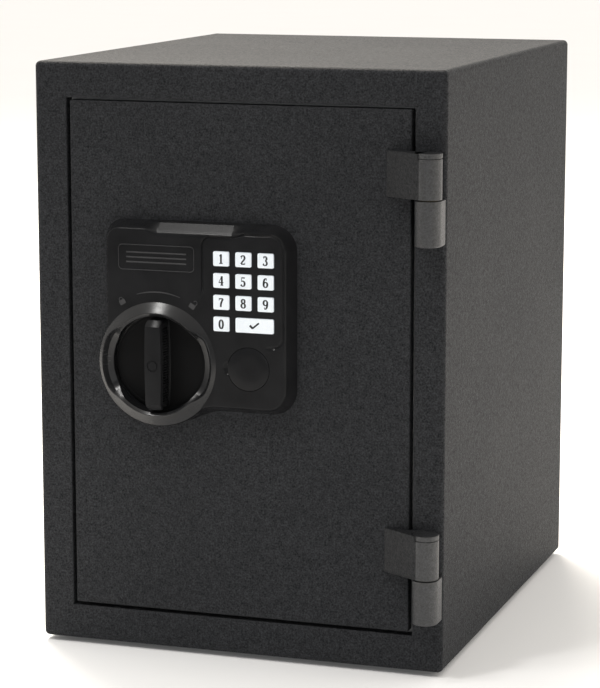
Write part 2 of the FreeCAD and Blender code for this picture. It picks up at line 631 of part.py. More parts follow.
pocketBack(crank, crankFront, f"{crankFront} + 3.5", lambda s: circle(s, "dial_across", "dial_up", "spindle_radius"))
register("crank", crank)
register("spindle_nut", minus(
    rod("y", "dial_across", f"{crankFront} + 3.5", "dial_up", "8.5", "2.2"),
    rod("y", "dial_across", crankFront, "dial_up", "spindle_radius", "8")))

solenoidBox = block("plunger_across - 10.5", "plunger_across + 10.5", "plate_back", "plate_back + 18",
                    "plunger_tip - 44.5", "plunger_tip - 8.5")
register("solenoid_body", minus(solenoidBox, rod(
    "z", "plunger_across", "bolt_depth", "plunger_tip - 34", "plunger_radius + spindle_play", "30")))
register("solenoid_plunger", rod(
    "z", "plunger_across", "bolt_depth", "plunger_tip - 31", "plunger_radius", "31"))

# ---- lock housing on the front of the door

bezel = body("lock_bezel")
outline = sketchOn(bezel, "XZ_Plane")
rectangle(outline, "bezel_left", "bezel_right", "bezel_bottom", "bezel_top")
slab = feature(bezel, "Pad", outline, "bezel_face")
bind(slab, "TaperAngle", "-bezel_slope")
doc.recompute()
if slab.Shape.BoundBox.XLength > mm["bezel_right"] - mm["bezel_left"] + 1:
    bind(slab, "TaperAngle", "bezel_slope")
    doc.recompute()
soften(bezel, "bezel_round_left", lambda e: runs(e, 1) and e.BoundBox.XMax < 150)
soften(bezel, "bezel_round_right", lambda e: runs(e, 1) and e.BoundBox.XMin > 150)
pocketBack(bezel, "-bezel_face", "0", lambda s: circle(s, "dial_across", "dial_up", "well_radius"))


def turned(kind, owner, points, level="dial_up"):
    """Revolve a profile of (radius, height) pairs about the dial's axis."""
    s = sketchOn(owner, "XY_Plane", level)
    s.addGeometry(Part.LineSegment(Vector(mm["dial_across"], 0, 0), Vector(mm["dial_across"], -30, 0)), True)
    s.addConstraint(Sketcher.Constraint("Vertical", 0))
    s.addConstraint(Sketcher.Constraint("PointOnObject", 0, 1, -1))
    c = s.addConstraint(Sketcher.Constraint("DistanceX", -1, 1, 0, 1, mm["dial_across"]))
    s.setExpression(f"Constraints[{c}]", formula("dial_across"))
    s.addConstraint(Sketcher.Constraint("DistanceY", 0, 2, 0, 1, 30.0))
    polygon(s, [(f"dial_across + {r}", f"-({h})") for r, h in points])
    f = owner.newObject(f"PartDesign::{kind}", kind)
    f.Profile = s
    f.ReferenceAxis = (s, ["Axis0"])
    f.Angle = 360
    owner.Tip = f
    return f


turned("Revolution", bezel, [
    ("7", "0"), ("ring_outer", "0"), ("ring_outer - 1.4", "bezel_face - 0.6"),
    ("ring_outer - 2.4", "bezel_face + 0.9"), ("well_radius + 3", "ring_crest - 0.4"),
    ("well_radius + 1.6", "ring_crest"), ("well_radius + 0.5", "ring_crest - 0.5"),
    ("well_radius", "ring_crest - 2.2"), ("well_radius", "well_floor"), ("7", "well_floor")])
for sign in ("", "-"):
    scoop = turned("Groove", bezel, [
        (f"{sign}(well_radius - 2)", "ring_crest + 1"), (f"{sign}(ring_outer - 4.5)", "ring_crest + 1"),
        (f"{sign}(ring_outer - 4.5)", "ring_crest - 3.2"), (f"{sign}(well_radius - 2)", "ring_crest - 8")])
    scoop.Angle = 80
    scoop.Midplane = True
padSpots = {f"key_{n}": ((n - 1) % 3, 3 - (n - 1) // 3) for n in range(1, 10)}
padSpots["key_0"] = (0, 0)
padSpots["key_enter"] = (1, 0)


def keyEdges(name, grow):
    column, line = padSpots[name]
    x0 = f"key_left + {column} * key_pitch_across"
    wide = "key_wide + key_pitch_across" if name == "key_enter" else "key_wide"
    z0 = f"key_low + {line} * key_pitch_up"
    return (f"{x0} - ({grow})", f"{x0} + {wide} + ({grow})", f"{z0} - ({grow})", f"{z0} + key_tall + ({grow})")


def keyHoles(s):
    for name in padSpots:
        rectangle(s, *keyEdges(name, "key_gap"))


boardBox = ("key_left - 11", "key_left + 2 * key_pitch_across + key_wide + 8",
            "key_low - 7", "key_low + 3 * key_pitch_up + key_tall + 9")
matBox = ("key_left - 9", "key_left + 2 * key_pitch_across + key_wide + 6",
          "key_low - 5", "key_low + 3 * key_pitch_up + key_tall + 7")
pocketBack(bezel, "-(bezel_face - bezel_wall)", "0", lambda s: rectangle(s, *matBox))
pocketBack(bezel, "-7.4", "0", lambda s: rectangle(s, *boardBox))
pocketBack(bezel, "-bezel_face", "-(bezel_face - bezel_wall)", keyHoles)
pocketBack(bezel, "-bezel_face", "-cover_seat", lambda s: circle(
    s, "lock_across", "lock_up", "cover_radius + cover_gap"))
pocketBack(bezel, "-cover_seat", "0", lambda s: circle(s, "lock_across", "lock_up", "lock_radius"))
pocketBack(bezel, "-bezel_face", "-(bezel_face - 3)", lambda s: circle(
    s, "lock_across - cover_radius + 1.6", "lock_up", "4.8"))
plate = ("80.6", "148", "329.2", "350.2")


def plateRim(s):
    rectangle(s, *plate)
    rectangle(s, "81.8", "146.8", "330.4", "349")


padBack(bezel, "-(bezel_face + 0.35)", "-bezel_face", plateRim)
register("lock_bezel", bezel)

register("keypad_board", block(boardBox[0], boardBox[1], "-7.4", "-5.8", boardBox[2], boardBox[3]))
register("keypad_mat", block(matBox[0] + " + 0.3", matBox[1] + " - 0.3", "-9.4", "-7.4",
                             matBox[2] + " + 0.3", matBox[3] + " - 0.3"))

for name in sorted(padSpots):
    cap = body(name)
    padBack(cap, "-key_top", "-key_foot", lambda s: rectangle(s, *keyEdges(name, "0")))
    soften(cap, "1", lambda e: runs(e, 1))
    soften(cap, "0.5", lambda e: within(e, 1, -mm["key_top"], -mm["key_top"]))
    padBack(cap, "-(key_foot + 0.7)", "-key_foot", lambda s: rectangle(s, *keyEdges(name, "key_flange")))
    register(name, cap)

# ---- dial with its grip

dial = body("dial_knob")
turned("Revolution", dial, [
    ("0", "dial_back"), ("dial_radius", "dial_back"), ("dial_radius", "dial_face - 0.6"),
    ("dial_radius - 0.6", "dial_face"), ("0", "dial_face")])
half = "grip_length / 2"
gripSketch = sketchOn(dial, "XZ_Plane", "dial_face - 0.5")
polygon(gripSketch, [
    ("dial_across - grip_foot_half", "dial_up - 18"), ("dial_across - grip_end_half", f"dial_up - {half} + 1.6"),
    ("dial_across - grip_end_half + 2.6", f"dial_up - {half}"),
    ("dial_across + grip_end_half - 2.6", f"dial_up - {half}"),
    ("dial_across + grip_end_half", f"dial_up - {half} + 1.6"), ("dial_across + grip_foot_half", "dial_up - 18"),
    ("dial_across + grip_foot_half", "dial_up + 18"), ("dial_across + grip_end_half", f"dial_up + {half} - 1.6"),
    ("dial_across + grip_end_half - 2.6", f"dial_up + {half}"),
    ("dial_across - grip_end_half + 2.6", f"dial_up + {half}"),
    ("dial_across - grip_end_half", f"dial_up + {half} - 1.6"), ("dial_across - grip_foot_half", "dial_up + 18")])
feature(dial, "Pad", gripSketch, "grip_out - dial_face + 0.5")
ends = sketchOn(dial, "YZ_Plane", "dial_across - 20")
for sign in ("+", "-"):
    polygon(ends, [("-(grip_out + 1)", f"dial_up {sign} ({half} - 5)"), ("-grip_out", f"dial_up {sign} ({half} - 5)"),
                   ("-(grip_out - 5)", f"dial_up {sign} {half}"), ("-(grip_out - 5)", f"dial_up {sign} ({half} + 1)"),
                   ("-(grip_out + 1)", f"dial_up {sign} ({half} + 1)")])
feature(dial, "Pocket", ends, "40", True)
soften(dial, "0.8", lambda e: within(e, 1, -mm["grip_out"], -mm["grip_out"]))
turned("Groove", dial, [("3.4", "grip_out + 1"), ("4.6", "grip_out + 1"), ("4.6", "grip_out - 0.4"),
                        ("3.4", "grip_out - 0.4")])
pocketBack(dial, "-(dial_face + 8)", "-dial_back", lambda s: circle(s, "dial_across", "dial_up", "spindle_radius"))
register("dial_knob", dial)

# ---- key-operated lock behind the round cover

register("lock_barrel", minus(
    rod("y", "lock_across", "-(cover_seat + 1.5)", "lock_up", "lock_radius", "cover_seat + 1.5 + plate_back + 3"),
    rod("y", "lock_across", "-30", "lock_up", "lock_plug + spindle_play", "70")))
register("lock_plug", minus(
    rod("y", "lock_across", "-(cover_seat + 1.8)", "lock_up", "lock_plug", "cover_seat + 1.8 + plate_back + 6"),
    block("lock_across - 0.8", "lock_across + 0.8", "-(cover_seat + 3)", "6", "lock_up - 4", "lock_up + 4")))
cam = body("lock_cam")
padBack(cam, "plate_back + 6", "plate_back + 8.5", lambda s: circle(s, "lock_across", "lock_up", "8"))
padBack(cam, "plate_back + 6", "plate_back + 8.5", lambda s: rectangle(
    s, "lock_across - 5", "lock_across + 5", "lock_up - 23", "lock_up"))
register("lock_cam", cam)
register("override_cover", joined(
    rod("y", "lock_across", "-bezel_face", "lock_up", "cover_radius", "2"),
    minus(rod("y", "lock_across", "-(bezel_face - 2)", "lock_up", "cover_radius", "3.4"),
          rod("y", "lock_across", "-bezel_face + 2", "lock_up", "cover_radius - 1.6", "4"))))

# ---- batteries inside the door

boxRight = "box_left + box_wide"
boxTop = "box_low + box_tall"
register("battery_box", minus(
    block("box_left", boxRight, "plate_back", "tray_back", "box_low", boxTop),
    block("box_left + box_wall", f"{boxRight} - box_wall", "plate_back + box_wall", "tray_back + 1",
          "box_low + box_wall", f"{boxTop} - box_wall")))
cells = []
for i in range(4):
    x = f"box_left + box_wide / 2 + ({i} - 1.5) * 15.4"
    cells.append(joined(
        rod("z", x, "plate_back + 10", "box_low + 2.5", "cell_radius", "cell_length - 1.2"),
        rod("z", x, "plate_back + 10", "box_low + 2.5 + cell_length - 1.2", "2.6", "1.2")))
register("batteries", several(*cells))
lid = body("battery_lid")
padBack(lid, "tray_back", "cover_back", lambda s: rectangle(
    s, lidHole[0] + " + 0.4", lidHole[1] + " - 0.4", lidHole[2] + " + 0.4", lidHole[3] + " - 0.4"))
soften(lid, "1", lambda e: runs(e, 1))
padBack(lid, "cover_back", "cover_back + 0.6", lambda s: [
    rectangle(s, f"box_left + 24", f"{boxRight} - 24", f"{boxTop} - {12 + 3 * i}", f"{boxTop} - {10.4 + 3 * i}")
    for i in range(3)])
register("battery_lid", lid)

# ---- check and write every piece

doc.recompute()
for thing in doc.Objects:
    if "Invalid" in thing.State or "Error" in thing.State:
        raise RuntimeError(f"{thing.Name} {thing.Label} {thing.State}")
os.makedirs("parts", exist_ok=True)
for name, thing in nodes.items():
    shape = thing.Shape
    if shape.isNull() or not shape.isValid() or shape.Volume <= 0:
        raise RuntimeError(f"{name} has no sound solid")
    shape.exportStep(os.path.join("parts", f"{name}.step"))
print(len(nodes), "pieces written")
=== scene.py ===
import math

import bmesh
import bpy
import numpy as np
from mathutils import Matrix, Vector


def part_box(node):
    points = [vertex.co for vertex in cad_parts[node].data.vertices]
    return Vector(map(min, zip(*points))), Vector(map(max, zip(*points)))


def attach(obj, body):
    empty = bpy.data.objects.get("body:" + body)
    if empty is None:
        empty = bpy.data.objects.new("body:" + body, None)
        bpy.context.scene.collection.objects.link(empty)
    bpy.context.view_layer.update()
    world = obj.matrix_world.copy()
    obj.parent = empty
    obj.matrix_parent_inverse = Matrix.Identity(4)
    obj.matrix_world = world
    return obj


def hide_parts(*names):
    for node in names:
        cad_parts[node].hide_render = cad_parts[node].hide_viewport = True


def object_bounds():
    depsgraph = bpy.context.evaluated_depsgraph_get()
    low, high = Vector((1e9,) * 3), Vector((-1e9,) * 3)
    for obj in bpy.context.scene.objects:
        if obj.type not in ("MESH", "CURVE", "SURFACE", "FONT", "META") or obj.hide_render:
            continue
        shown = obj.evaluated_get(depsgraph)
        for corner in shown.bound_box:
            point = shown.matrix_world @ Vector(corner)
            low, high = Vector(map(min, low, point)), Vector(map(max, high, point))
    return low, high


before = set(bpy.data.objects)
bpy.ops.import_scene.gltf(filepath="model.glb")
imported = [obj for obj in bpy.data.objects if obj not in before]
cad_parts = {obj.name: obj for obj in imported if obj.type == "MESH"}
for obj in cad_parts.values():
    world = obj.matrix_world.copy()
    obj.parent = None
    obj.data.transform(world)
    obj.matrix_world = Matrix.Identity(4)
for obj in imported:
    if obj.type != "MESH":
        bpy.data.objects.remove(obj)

# Everything below is worked out in millimetres from the case's left edge (x), out of its
# front face towards the person opening it (out), and up from its underside (up).

packedBox = [list(corner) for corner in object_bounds()]
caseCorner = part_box("outer_case")[0]
mainFinish, otherFinish = 0, 1        # places in a piece's list of finishes


def toFrame(points):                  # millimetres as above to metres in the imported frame
    points = np.asarray(points, float) / 1000
    return np.column_stack((caseCorner.x + points[:, 0],
                            caseCorner.y - points[:, 1],
                            caseCorner.z + points[:, 2]))


def boxOf(node):                      # left, right, back, front, low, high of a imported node
    low, high = (np.array(corner) - np.array(caseCorner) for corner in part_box(node))
    return (low[0] * 1000, high[0] * 1000, -high[1] * 1000, -low[1] * 1000,
            low[2] * 1000, high[2] * 1000)


def centreOf(node):
    left, right, back, front, low, high = boxOf(node)
    return (left + right) / 2, (low + high) / 2


class Wire:                           # a shader node's socket that can stand in a sum
    def __init__(self, tree, socket):
        self.tree, self.socket = tree, socket

    def node(self, kind, settings=None, values=None, output=0):
        made = self.tree.nodes.new(kind)
        for key, value in (settings or {}).items():
            setattr(made, key, value)
        for key, value in (values or {}).items():
            if isinstance(value, Wire):
                self.tree.links.new(value.socket, made.inputs[key])
            else:
                made.inputs[key].default_value = value
        return Wire(self.tree, made.outputs[output])

    def reckon(self, operation, first, second):
        return self.node("ShaderNodeMath", {"operation": operation}, {0: first, 1: second})

    def __add__(self, other): return self.reckon("ADD", self, other)
    def __radd__(self, other): return self.reckon("ADD", other, self)
    def __sub__(self, other): return self.reckon("SUBTRACT", self, other)
    def __rsub__(self, other): return self.reckon("SUBTRACT", other, self)
    def __mul__(self, other): return self.reckon("MULTIPLY", self, other)

    def noise(self, scale, detail, rough=0.55):
        return self.node("ShaderNodeTexNoise", None,
                         {"Vector": self, "Scale": scale, "Detail": detail, "Roughness": rough})

    def cells(self, scale):
        return self.node("ShaderNodeTexVoronoi", {"feature": "F1"},
                         {"Vector": self, "Scale": scale}, "Distance")

    def between(self, low, high):     # 0 below low, 1 above high
        return self.node("ShaderNodeMapRange", {"clamp": True},
                         {"Value": self, "From Min": low, "From Max": high})

    def blend(self, dark, light):     # this factor mixes two colours
        return self.node("ShaderNodeMix", {"data_type": "RGBA"},
                         {0: self, 6: dark, 7: light}, 2)

    def stretch(self, x, y, z):
        return self.node("ShaderNodeMapping", None, {"Vector": self, "Scale": (x, y, z)})


def newFinish(name, **uniform):       # a material, its shader and its object coordinates
    made = bpy.data.materials.new(name)
    made.use_nodes = True
    tree = made.node_tree
    shader = tree.nodes["Principled BSDF"]
    for key, value in uniform.items():
        shader.inputs[key.replace("_", " ")].default_value = value
    start = Wire(tree, None)
    return made, shader, start.node("ShaderNodeTexCoord", output="Object")


def feed(shader, **wires):            # what changes over the surface
    for key, wire in wires.items():
        wire.tree.links.new(wire.socket, shader.inputs[key.replace("_", " ")])


def bumped(height, strength, distance):
    return height.node("ShaderNodeBump", None,
                       {"Height": height, "Strength": strength, "Distance": distance})


def tone(red, green, blue):
    return (red, green, blue, 1.0)


# Finishes: colours are linear, grain and fleck are noise scales, relief is in metres.
paintLook = {
    "dark": (0.0070, 0.0075, 0.0085), "light": (0.045, 0.047, 0.051),
    "grain": 620.0, "fleck": 1150.0, "relief": 0.0008, "strength": 0.95, "roughness": 0.60,
    "shine": 0.09,
}


def wrinkledPaint(name, look, lift=1.0, relief=1.0):
    made, shader, where = newFinish(name, IOR=1.5, Specular_IOR_Level=look["shine"])
    grain = where.noise(look["grain"], 3.5, 0.62)
    lumps = where.noise(look["grain"] * 0.42, 2.0)
    flecks = where.noise(look["fleck"], 2.0, 0.7).between(0.60, 0.80)
    patches = where.noise(9.0, 2.0)
    mottle = (grain * 0.75 + lumps * 0.25).between(0.34, 0.70)
    dark = [v * lift for v in look["dark"]]
    light = [v * lift for v in look["light"]]
    colour = (mottle * (0.82 + patches * 0.36)).blend(tone(*dark), tone(*light))
    colour = (flecks * 0.55).blend(colour, tone(*[v * 1.9 for v in light]))
    sheen = look["roughness"] + (0.5 - mottle) * 0.14 + (patches - 0.5) * 0.10
    feed(shader, Base_Color=colour, Roughness=sheen,
         Normal=bumped(grain * 0.7 + lumps * 0.3 + flecks * 0.15,
                       look["strength"] * relief, look["relief"]))
    return made


plasticLook = {
    "colour": (0.0085, 0.0088, 0.0095), "worn": (0.019, 0.0195, 0.021),
    "roughness": 0.21, "speckle": 2600.0, "relief": 0.00002, "shine": 0.10,
}


def mouldedPlastic(name, look, roughness=None, lift=1.0):
    made, shader, where = newFinish(name, IOR=1.5, Specular_IOR_Level=look["shine"])
    speckle = where.noise(look["speckle"], 2.0, 0.6)
    clouds = where.noise(34.0, 3.0)
    wipes = where.stretch(1.0, 1.0, 6.0).noise(60.0, 2.0)
    colour = (clouds * 0.6 + speckle * 0.4).between(0.30, 0.75).blend(
        tone(*[v * lift for v in look["colour"]]), tone(*[v * lift for v in look["worn"]]))
    base = look["roughness"] if roughness is None else roughness
    feed(shader, Base_Color=colour,
         Roughness=base + (clouds - 0.5) * 0.12 + (wipes - 0.5) * 0.08,
         Normal=bumped(speckle + clouds * 0.5, 0.35, look["relief"]))
    return made


metalLook = {
    "bright_steel": {"dark": (0.42, 0.42, 0.43), "light": (0.62, 0.62, 0.62),
                     "roughness": 0.26, "along": (1, 1, 14)},
    "zinc_plate": {"dark": (0.40, 0.42, 0.44), "light": (0.58, 0.60, 0.63),
                   "roughness": 0.40, "along": (1, 1, 1)},
    "bearing_brass": {"dark": (0.50, 0.35, 0.13), "light": (0.72, 0.54, 0.24),
                      "roughness": 0.32, "along": (1, 14, 1)},
}


def metal(name, look):
    made, shader, where = newFinish(name, Metallic=1.0)
    scratches = where.stretch(*look["along"]).noise(420.0, 3.0, 0.65)
    clouds = where.noise(48.0, 3.0)
    spangle = where.cells(210.0)
    mottle = (scratches * 0.5 + clouds * 0.3 + spangle * 0.2).between(0.25, 0.70)
    feed(shader, Base_Color=mottle.blend(tone(*look["dark"]), tone(*look["light"])),
         Roughness=look["roughness"] + (clouds - 0.5) * 0.2 + (scratches - 0.5) * 0.12,
         Normal=bumped(scratches, 0.25, 0.00004))
    return made


plainLook = {
    "liner_finish": {"dark": (0.30, 0.305, 0.31), "light": (0.40, 0.405, 0.41),
                     "roughness": 0.52, "grain": 700.0, "relief": 0.00018},
    "inner_plastic": {"dark": (0.030, 0.031, 0.033), "light": (0.055, 0.056, 0.058),
                      "roughness": 0.46, "grain": 1200.0, "relief": 0.00012},
    "insulation": {"dark": (0.42, 0.40, 0.36), "light": (0.66, 0.64, 0.58),
                   "roughness": 0.92, "grain": 260.0, "relief": 0.0012},
    "foot_rubber": {"dark": (0.012, 0.012, 0.012), "light": (0.030, 0.030, 0.030),
                    "roughness": 0.74, "grain": 900.0, "relief": 0.00015},
    "board_green": {"dark": (0.010, 0.060, 0.028), "light": (0.020, 0.105, 0.048),
                    "roughness": 0.35, "grain": 520.0, "relief": 0.00008},
    "cell_jacket": {"dark": (0.060, 0.062, 0.066), "light": (0.13, 0.13, 0.135),
                    "roughness": 0.30, "grain": 160.0, "relief": 0.00004},
    "key_white": {"dark": (0.74, 0.79, 0.84), "light": (0.86, 0.90, 0.94),
                  "roughness": 0.42, "grain": 900.0, "relief": 0.00005},
    "key_ink": {"dark": (0.006, 0.006, 0.007), "light": (0.014, 0.014, 0.015),
                "roughness": 0.40, "grain": 2200.0, "relief": 0.00003},
}


def plainFinish(name, look, **uniform):
    made, shader, where = newFinish(name, **uniform)
    grain = where.noise(look["grain"], 3.0, 0.6)
    clouds = where.noise(22.0, 3.0)
    mottle = (grain * 0.6 + clouds * 0.4).between(0.30, 0.70)
    feed(shader, Base_Color=mottle.blend(tone(*look["dark"]), tone(*look["light"])),
         Roughness=look["roughness"] + (clouds - 0.5) * 0.14,
         Normal=bumped(grain, 0.5, look["relief"]))
    return made


finishes = {name: metal(name + "_look", look) for name, look in metalLook.items()}
finishes.update({name: plainFinish(name + "_look", look) for name, look in plainLook.items()
                 if name != "key_white"})
# the key caps carry a faint painted glow: an emission that makes them brighter than the lamps
# alone light them
finishes["key_white"] = plainFinish("key_white_look", plainLook["key_white"],
                                    Emission_Color=(0.80, 0.92, 1.0, 1.0),
                                    Emission_Strength=0.14)
finishes["case_paint"] = wrinkledPaint("case_paint_look", paintLook)
finishes["door_paint"] = wrinkledPaint("door_paint_look", paintLook)
finishes["housing_black"] = mouldedPlastic("housing_black_look", plasticLook)
hingeShine = dict(paintLook, shine=0.75, roughness=0.46)
strapPaint = wrinkledPaint("strap_paint_look", dict(hingeShine, shine=0.22), lift=0.7,
                           relief=0.7)
barrelPaint = wrinkledPaint("barrel_paint_look", hingeShine, lift=0.85, relief=0.8)
# a dark copy of the brass for the thrust washers: painted shade for the narrow gap between each
# knuckle and its barrel
gapShadeBrass = metal("gap_painted_shade_brass_look",
                   {"dark": (0.05, 0.04, 0.025), "light": (0.11, 0.085, 0.05),
                    "roughness": 0.55, "along": (1, 1, 1)})
# the raised lines are the housing's plastic painted 2.4 times lighter: a painted highlight where
# their edges catch the light
raisedLineHighlight = mouldedPlastic("raised_line_painted_highlight_look", dict(plasticLook, shine=0.55), roughness=0.40,
                             lift=2.4)
ringPlastic = mouldedPlastic("dial_ring_look", dict(plasticLook, shine=0.42), roughness=0.25)
discPlastic = mouldedPlastic("dial_disc_look", plasticLook, roughness=0.62, lift=0.35)
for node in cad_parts.values():
    for index, old in enumerate(node.data.materials):
        node.data.materials[index] = finishes[old.name]
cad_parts["thrust_washers"].data.materials[0] = gapShadeBrass
print("finishes are on", len(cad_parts), "packed nodes")


# Mesh helpers: outlines run anticlockwise in (across, up).
def arc(across, up, radius, start, stop, steps):      # angles in degrees, anticlockwise
    angles = np.radians(np.linspace(start, stop, steps))
    return np.column_stack((across + radius * np.cos(angles), up + radius * np.sin(angles)))


def roundedOutline(left, right, low, high, radius, steps=7):
    corners = ((right - radius, high - radius, 0), (left + radius, high - radius, 90),
               (left + radius, low + radius, 180), (right - radius, low + radius, 270))
    return np.vstack([arc(a, b, radius, turn, turn + 90, steps) for a, b, turn in corners])


def drawnIn(outline, inset):          # an anticlockwise outline moved in by that much
    before, after = np.roll(outline, 1, 0), np.roll(outline, -1, 0)
    first, second = outline - before, after - outline
    first /= np.linalg.norm(first, axis=1)[:, None]
    second /= np.linalg.norm(second, axis=1)[:, None]
    out = np.column_stack((first[:, 1] + second[:, 1], -first[:, 0] - second[:, 0]))
    reach = 1 + (first * second).sum(1)
    return outline - inset * out / np.maximum(reach, 0.35)[:, None]


def stack(outline, levels, upright=False):            # one outline at several levels, capped
    points, faces, count = [], [], len(outline)
    for inset, level in levels:
        ring = drawnIn(outline, inset) if inset else outline
        fill = np.full(count, level)
        points.append(np.column_stack((ring[:, 0], ring[:, 1], fill) if upright
                                      else (ring[:, 0], fill, ring[:, 1])))
    for row in range(len(levels) - 1):
        for column in range(count):
            after = (column + 1) % count
            faces.append((row * count + column, row * count + after,
                          (row + 1) * count + after, (row + 1) * count + column))
    faces.append(tuple(range(count)))
    faces.append(tuple(range((len(levels) - 1) * count, len(levels) * count)))
    return np.vstack(points), faces


def turned(profileAt, across, up, steps):             # a closed profile carried round an axis
    rings = [profileAt(360 * k / steps) for k in range(steps)]
    count, points, faces = len(rings[0]), [], []
    for k, ring in enumerate(rings):
        angle = 2 * math.pi * k / steps
        points.append(np.column_stack((across + ring[:, 0] * math.cos(angle), ring[:, 1],
                                       up + ring[:, 0] * math.sin(angle))))
        after = (k + 1) % steps
        for i in range(count):
            j = (i + 1) % count
            faces.append((k * count + i, k * count + j, after * count + j, after * count + i))
    return np.vstack(points), faces


def ribbon(path, width, base, top, closed=False, draft=0.12):    # a raised line along a path
    path = np.asarray(path, float)
    if closed:
        along = np.roll(path, -1, 0) - np.roll(path, 1, 0)
    else:
        along = np.gradient(path, axis=0)
    along /= np.linalg.norm(along, axis=1)[:, None]
    side = np.column_stack((-along[:, 1], along[:, 0]))
    half = np.broadcast_to(np.asarray(width, float) / 2, len(path))[:, None]
    rows = [(path - side * half, base), (path - side * (half - draft), top),
            (path + side * (half - draft), top), (path + side * half, base)]
    points = np.stack([np.column_stack((row[:, 0], np.full(len(row), level), row[:, 1]))
                       for row, level in rows], 1).reshape(-1, 3)
    faces, count = [], len(path)
    for k in range(count if closed else count - 1):
        here, there = k * 4, (k + 1) % count * 4
        for i in range(4):
            j = (i + 1) % 4
            faces.append((here + i, here + j, there + j, there + i))
    if not closed:
        faces += [(0, 1, 2, 3), tuple(range(count * 4 - 4, count * 4))]
    return points, faces


def makePiece(name, shells, finish, sharp=30.0):        # shells: (points, faces, finish index)
    points, faces, which = [], [], []
    for shell in shells:
        offset = sum(len(p) for p in points)
        points.append(np.asarray(shell[0], float))
        faces += [tuple(int(i) + offset for i in face) for face in shell[1]]
        which += [shell[2] if len(shell) > 2 else mainFinish] * len(shell[1])
    mesh = bpy.data.meshes.new(name)
    mesh.from_pydata(toFrame(np.vstack(points)).tolist(), [], faces)
    for one in finish:
        mesh.materials.append(one)
    mesh.polygons.foreach_set("material_index", which)
    work = bmesh.new()
    work.from_mesh(mesh)
    bmesh.ops.recalc_face_normals(work, faces=work.faces)
    work.to_mesh(mesh)
    work.free()
    mesh.shade_smooth()
    mesh.set_sharp_from_angle(angle=math.radians(sharp))
    piece = bpy.data.objects.new(name, mesh)
    bpy.context.scene.collection.objects.link(piece)
    return piece


def evenNormals(piece):               # broad faces keep their own direction beside round edges
    weighted = piece.modifiers.new("even", "WEIGHTED_NORMAL")
    weighted.keep_sharp = True
    weighted.weight = 80


def applied(piece):                   # the piece's mesh with its modifiers worked into it
    depsgraph = bpy.context.evaluated_depsgraph_get()
    mesh = bpy.data.meshes.new_from_object(piece.evaluated_get(depsgraph))
    piece.modifiers.clear()
    piece.data = mesh


def cutBy(piece, shells, name):       # takes closed shells out of a piece
    tool = makePiece(name, shells, finish=list(piece.data.materials))
    cut = piece.modifiers.new(name, "BOOLEAN")
    cut.operation, cut.solver, cut.object = "DIFFERENCE", "EXACT", tool
    applied(piece)
    bpy.data.objects.remove(tool)


def joined(pieces, sharp):            # several pieces made one, under the last one's name
    whole = pieces[-1]
    bpy.ops.object.select_all(action="DESELECT")
    for one in pieces:
        one.select_set(True)
    bpy.context.view_layer.objects.active = whole
    bpy.ops.object.join()
    whole.data.shade_smooth()
    whole.data.set_sharp_from_angle(angle=math.radians(sharp))


def setOn(piece, body, slot, *nodes):
    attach(piece, body)
    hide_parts(*nodes)


# Hinges: a strap with its knuckle and cap is one piece, a frame barrel another.
hingeLook = {"edge": 0.45, "nose": 0.6, "leafTop": 1.6, "capGap": 0.4, "capThick": 4.0,
             "capEdge": 0.7, "neckInset": 1.5, "neckReach": 1.0, "knuckleFrom": 5.6,
             "standOff": 0.8, "barrelEnd": 1.8, "barrelEdge": 0.3, "steps": 40}

knuckleRadius = (boxOf("hinge_caps")[1] - boxOf("hinge_caps")[0]) / 2
pinAcross = sum(boxOf("hinge_pins")[:2]) / 2
pinOut = sum(boxOf("hinge_pins")[2:4]) / 2
doorRight = boxOf("door_skin")[1]


# the whole strap, and the leaf beside the cap, seen from above
def strapOutlines():
    left = boxOf("upper_strap")[0]
    tip = np.array((left + hingeLook["nose"], hingeLook["leafTop"]))
    reach = np.array((pinAcross, pinOut)) - tip
    far = np.linalg.norm(reach)
    rise = math.degrees(math.atan2(reach[1], reach[0]) + math.asin(knuckleRadius / far))
    under = hingeLook["standOff"]     # how far the strap stands off once past the door's edge
    turnIn = -math.degrees(math.acos(-(under - pinOut) / knuckleRadius)) - 90
    foot = [(left, 0.05), (doorRight - 0.2, 0.05), (doorRight + 0.1, under)]
    nose = [tuple(tip), (left, hingeLook["nose"])]
    whole = np.vstack((foot, arc(pinAcross, pinOut, knuckleRadius, turnIn, rise + 90,
                                 hingeLook["steps"]), nose))
    clear = knuckleRadius + hingeLook["capGap"]
    leaf = np.vstack((foot, arc(pinAcross, pinOut, clear, turnIn + 360 - 2.5, rise + 96, 22),
                      nose))
    return whole, leaf


def softEnds(low, high, edge, foot=None):             # levels with both rims rounded
    foot = edge if foot is None else foot
    bend = ((1.0, 0.0), (0.62, 0.08), (0.29, 0.29), (0.08, 0.62), (0.0, 1.0))
    return ([(foot * a, low + foot * b) for a, b in bend]
            + [(edge * a, high - edge * b) for a, b in reversed(bend)])


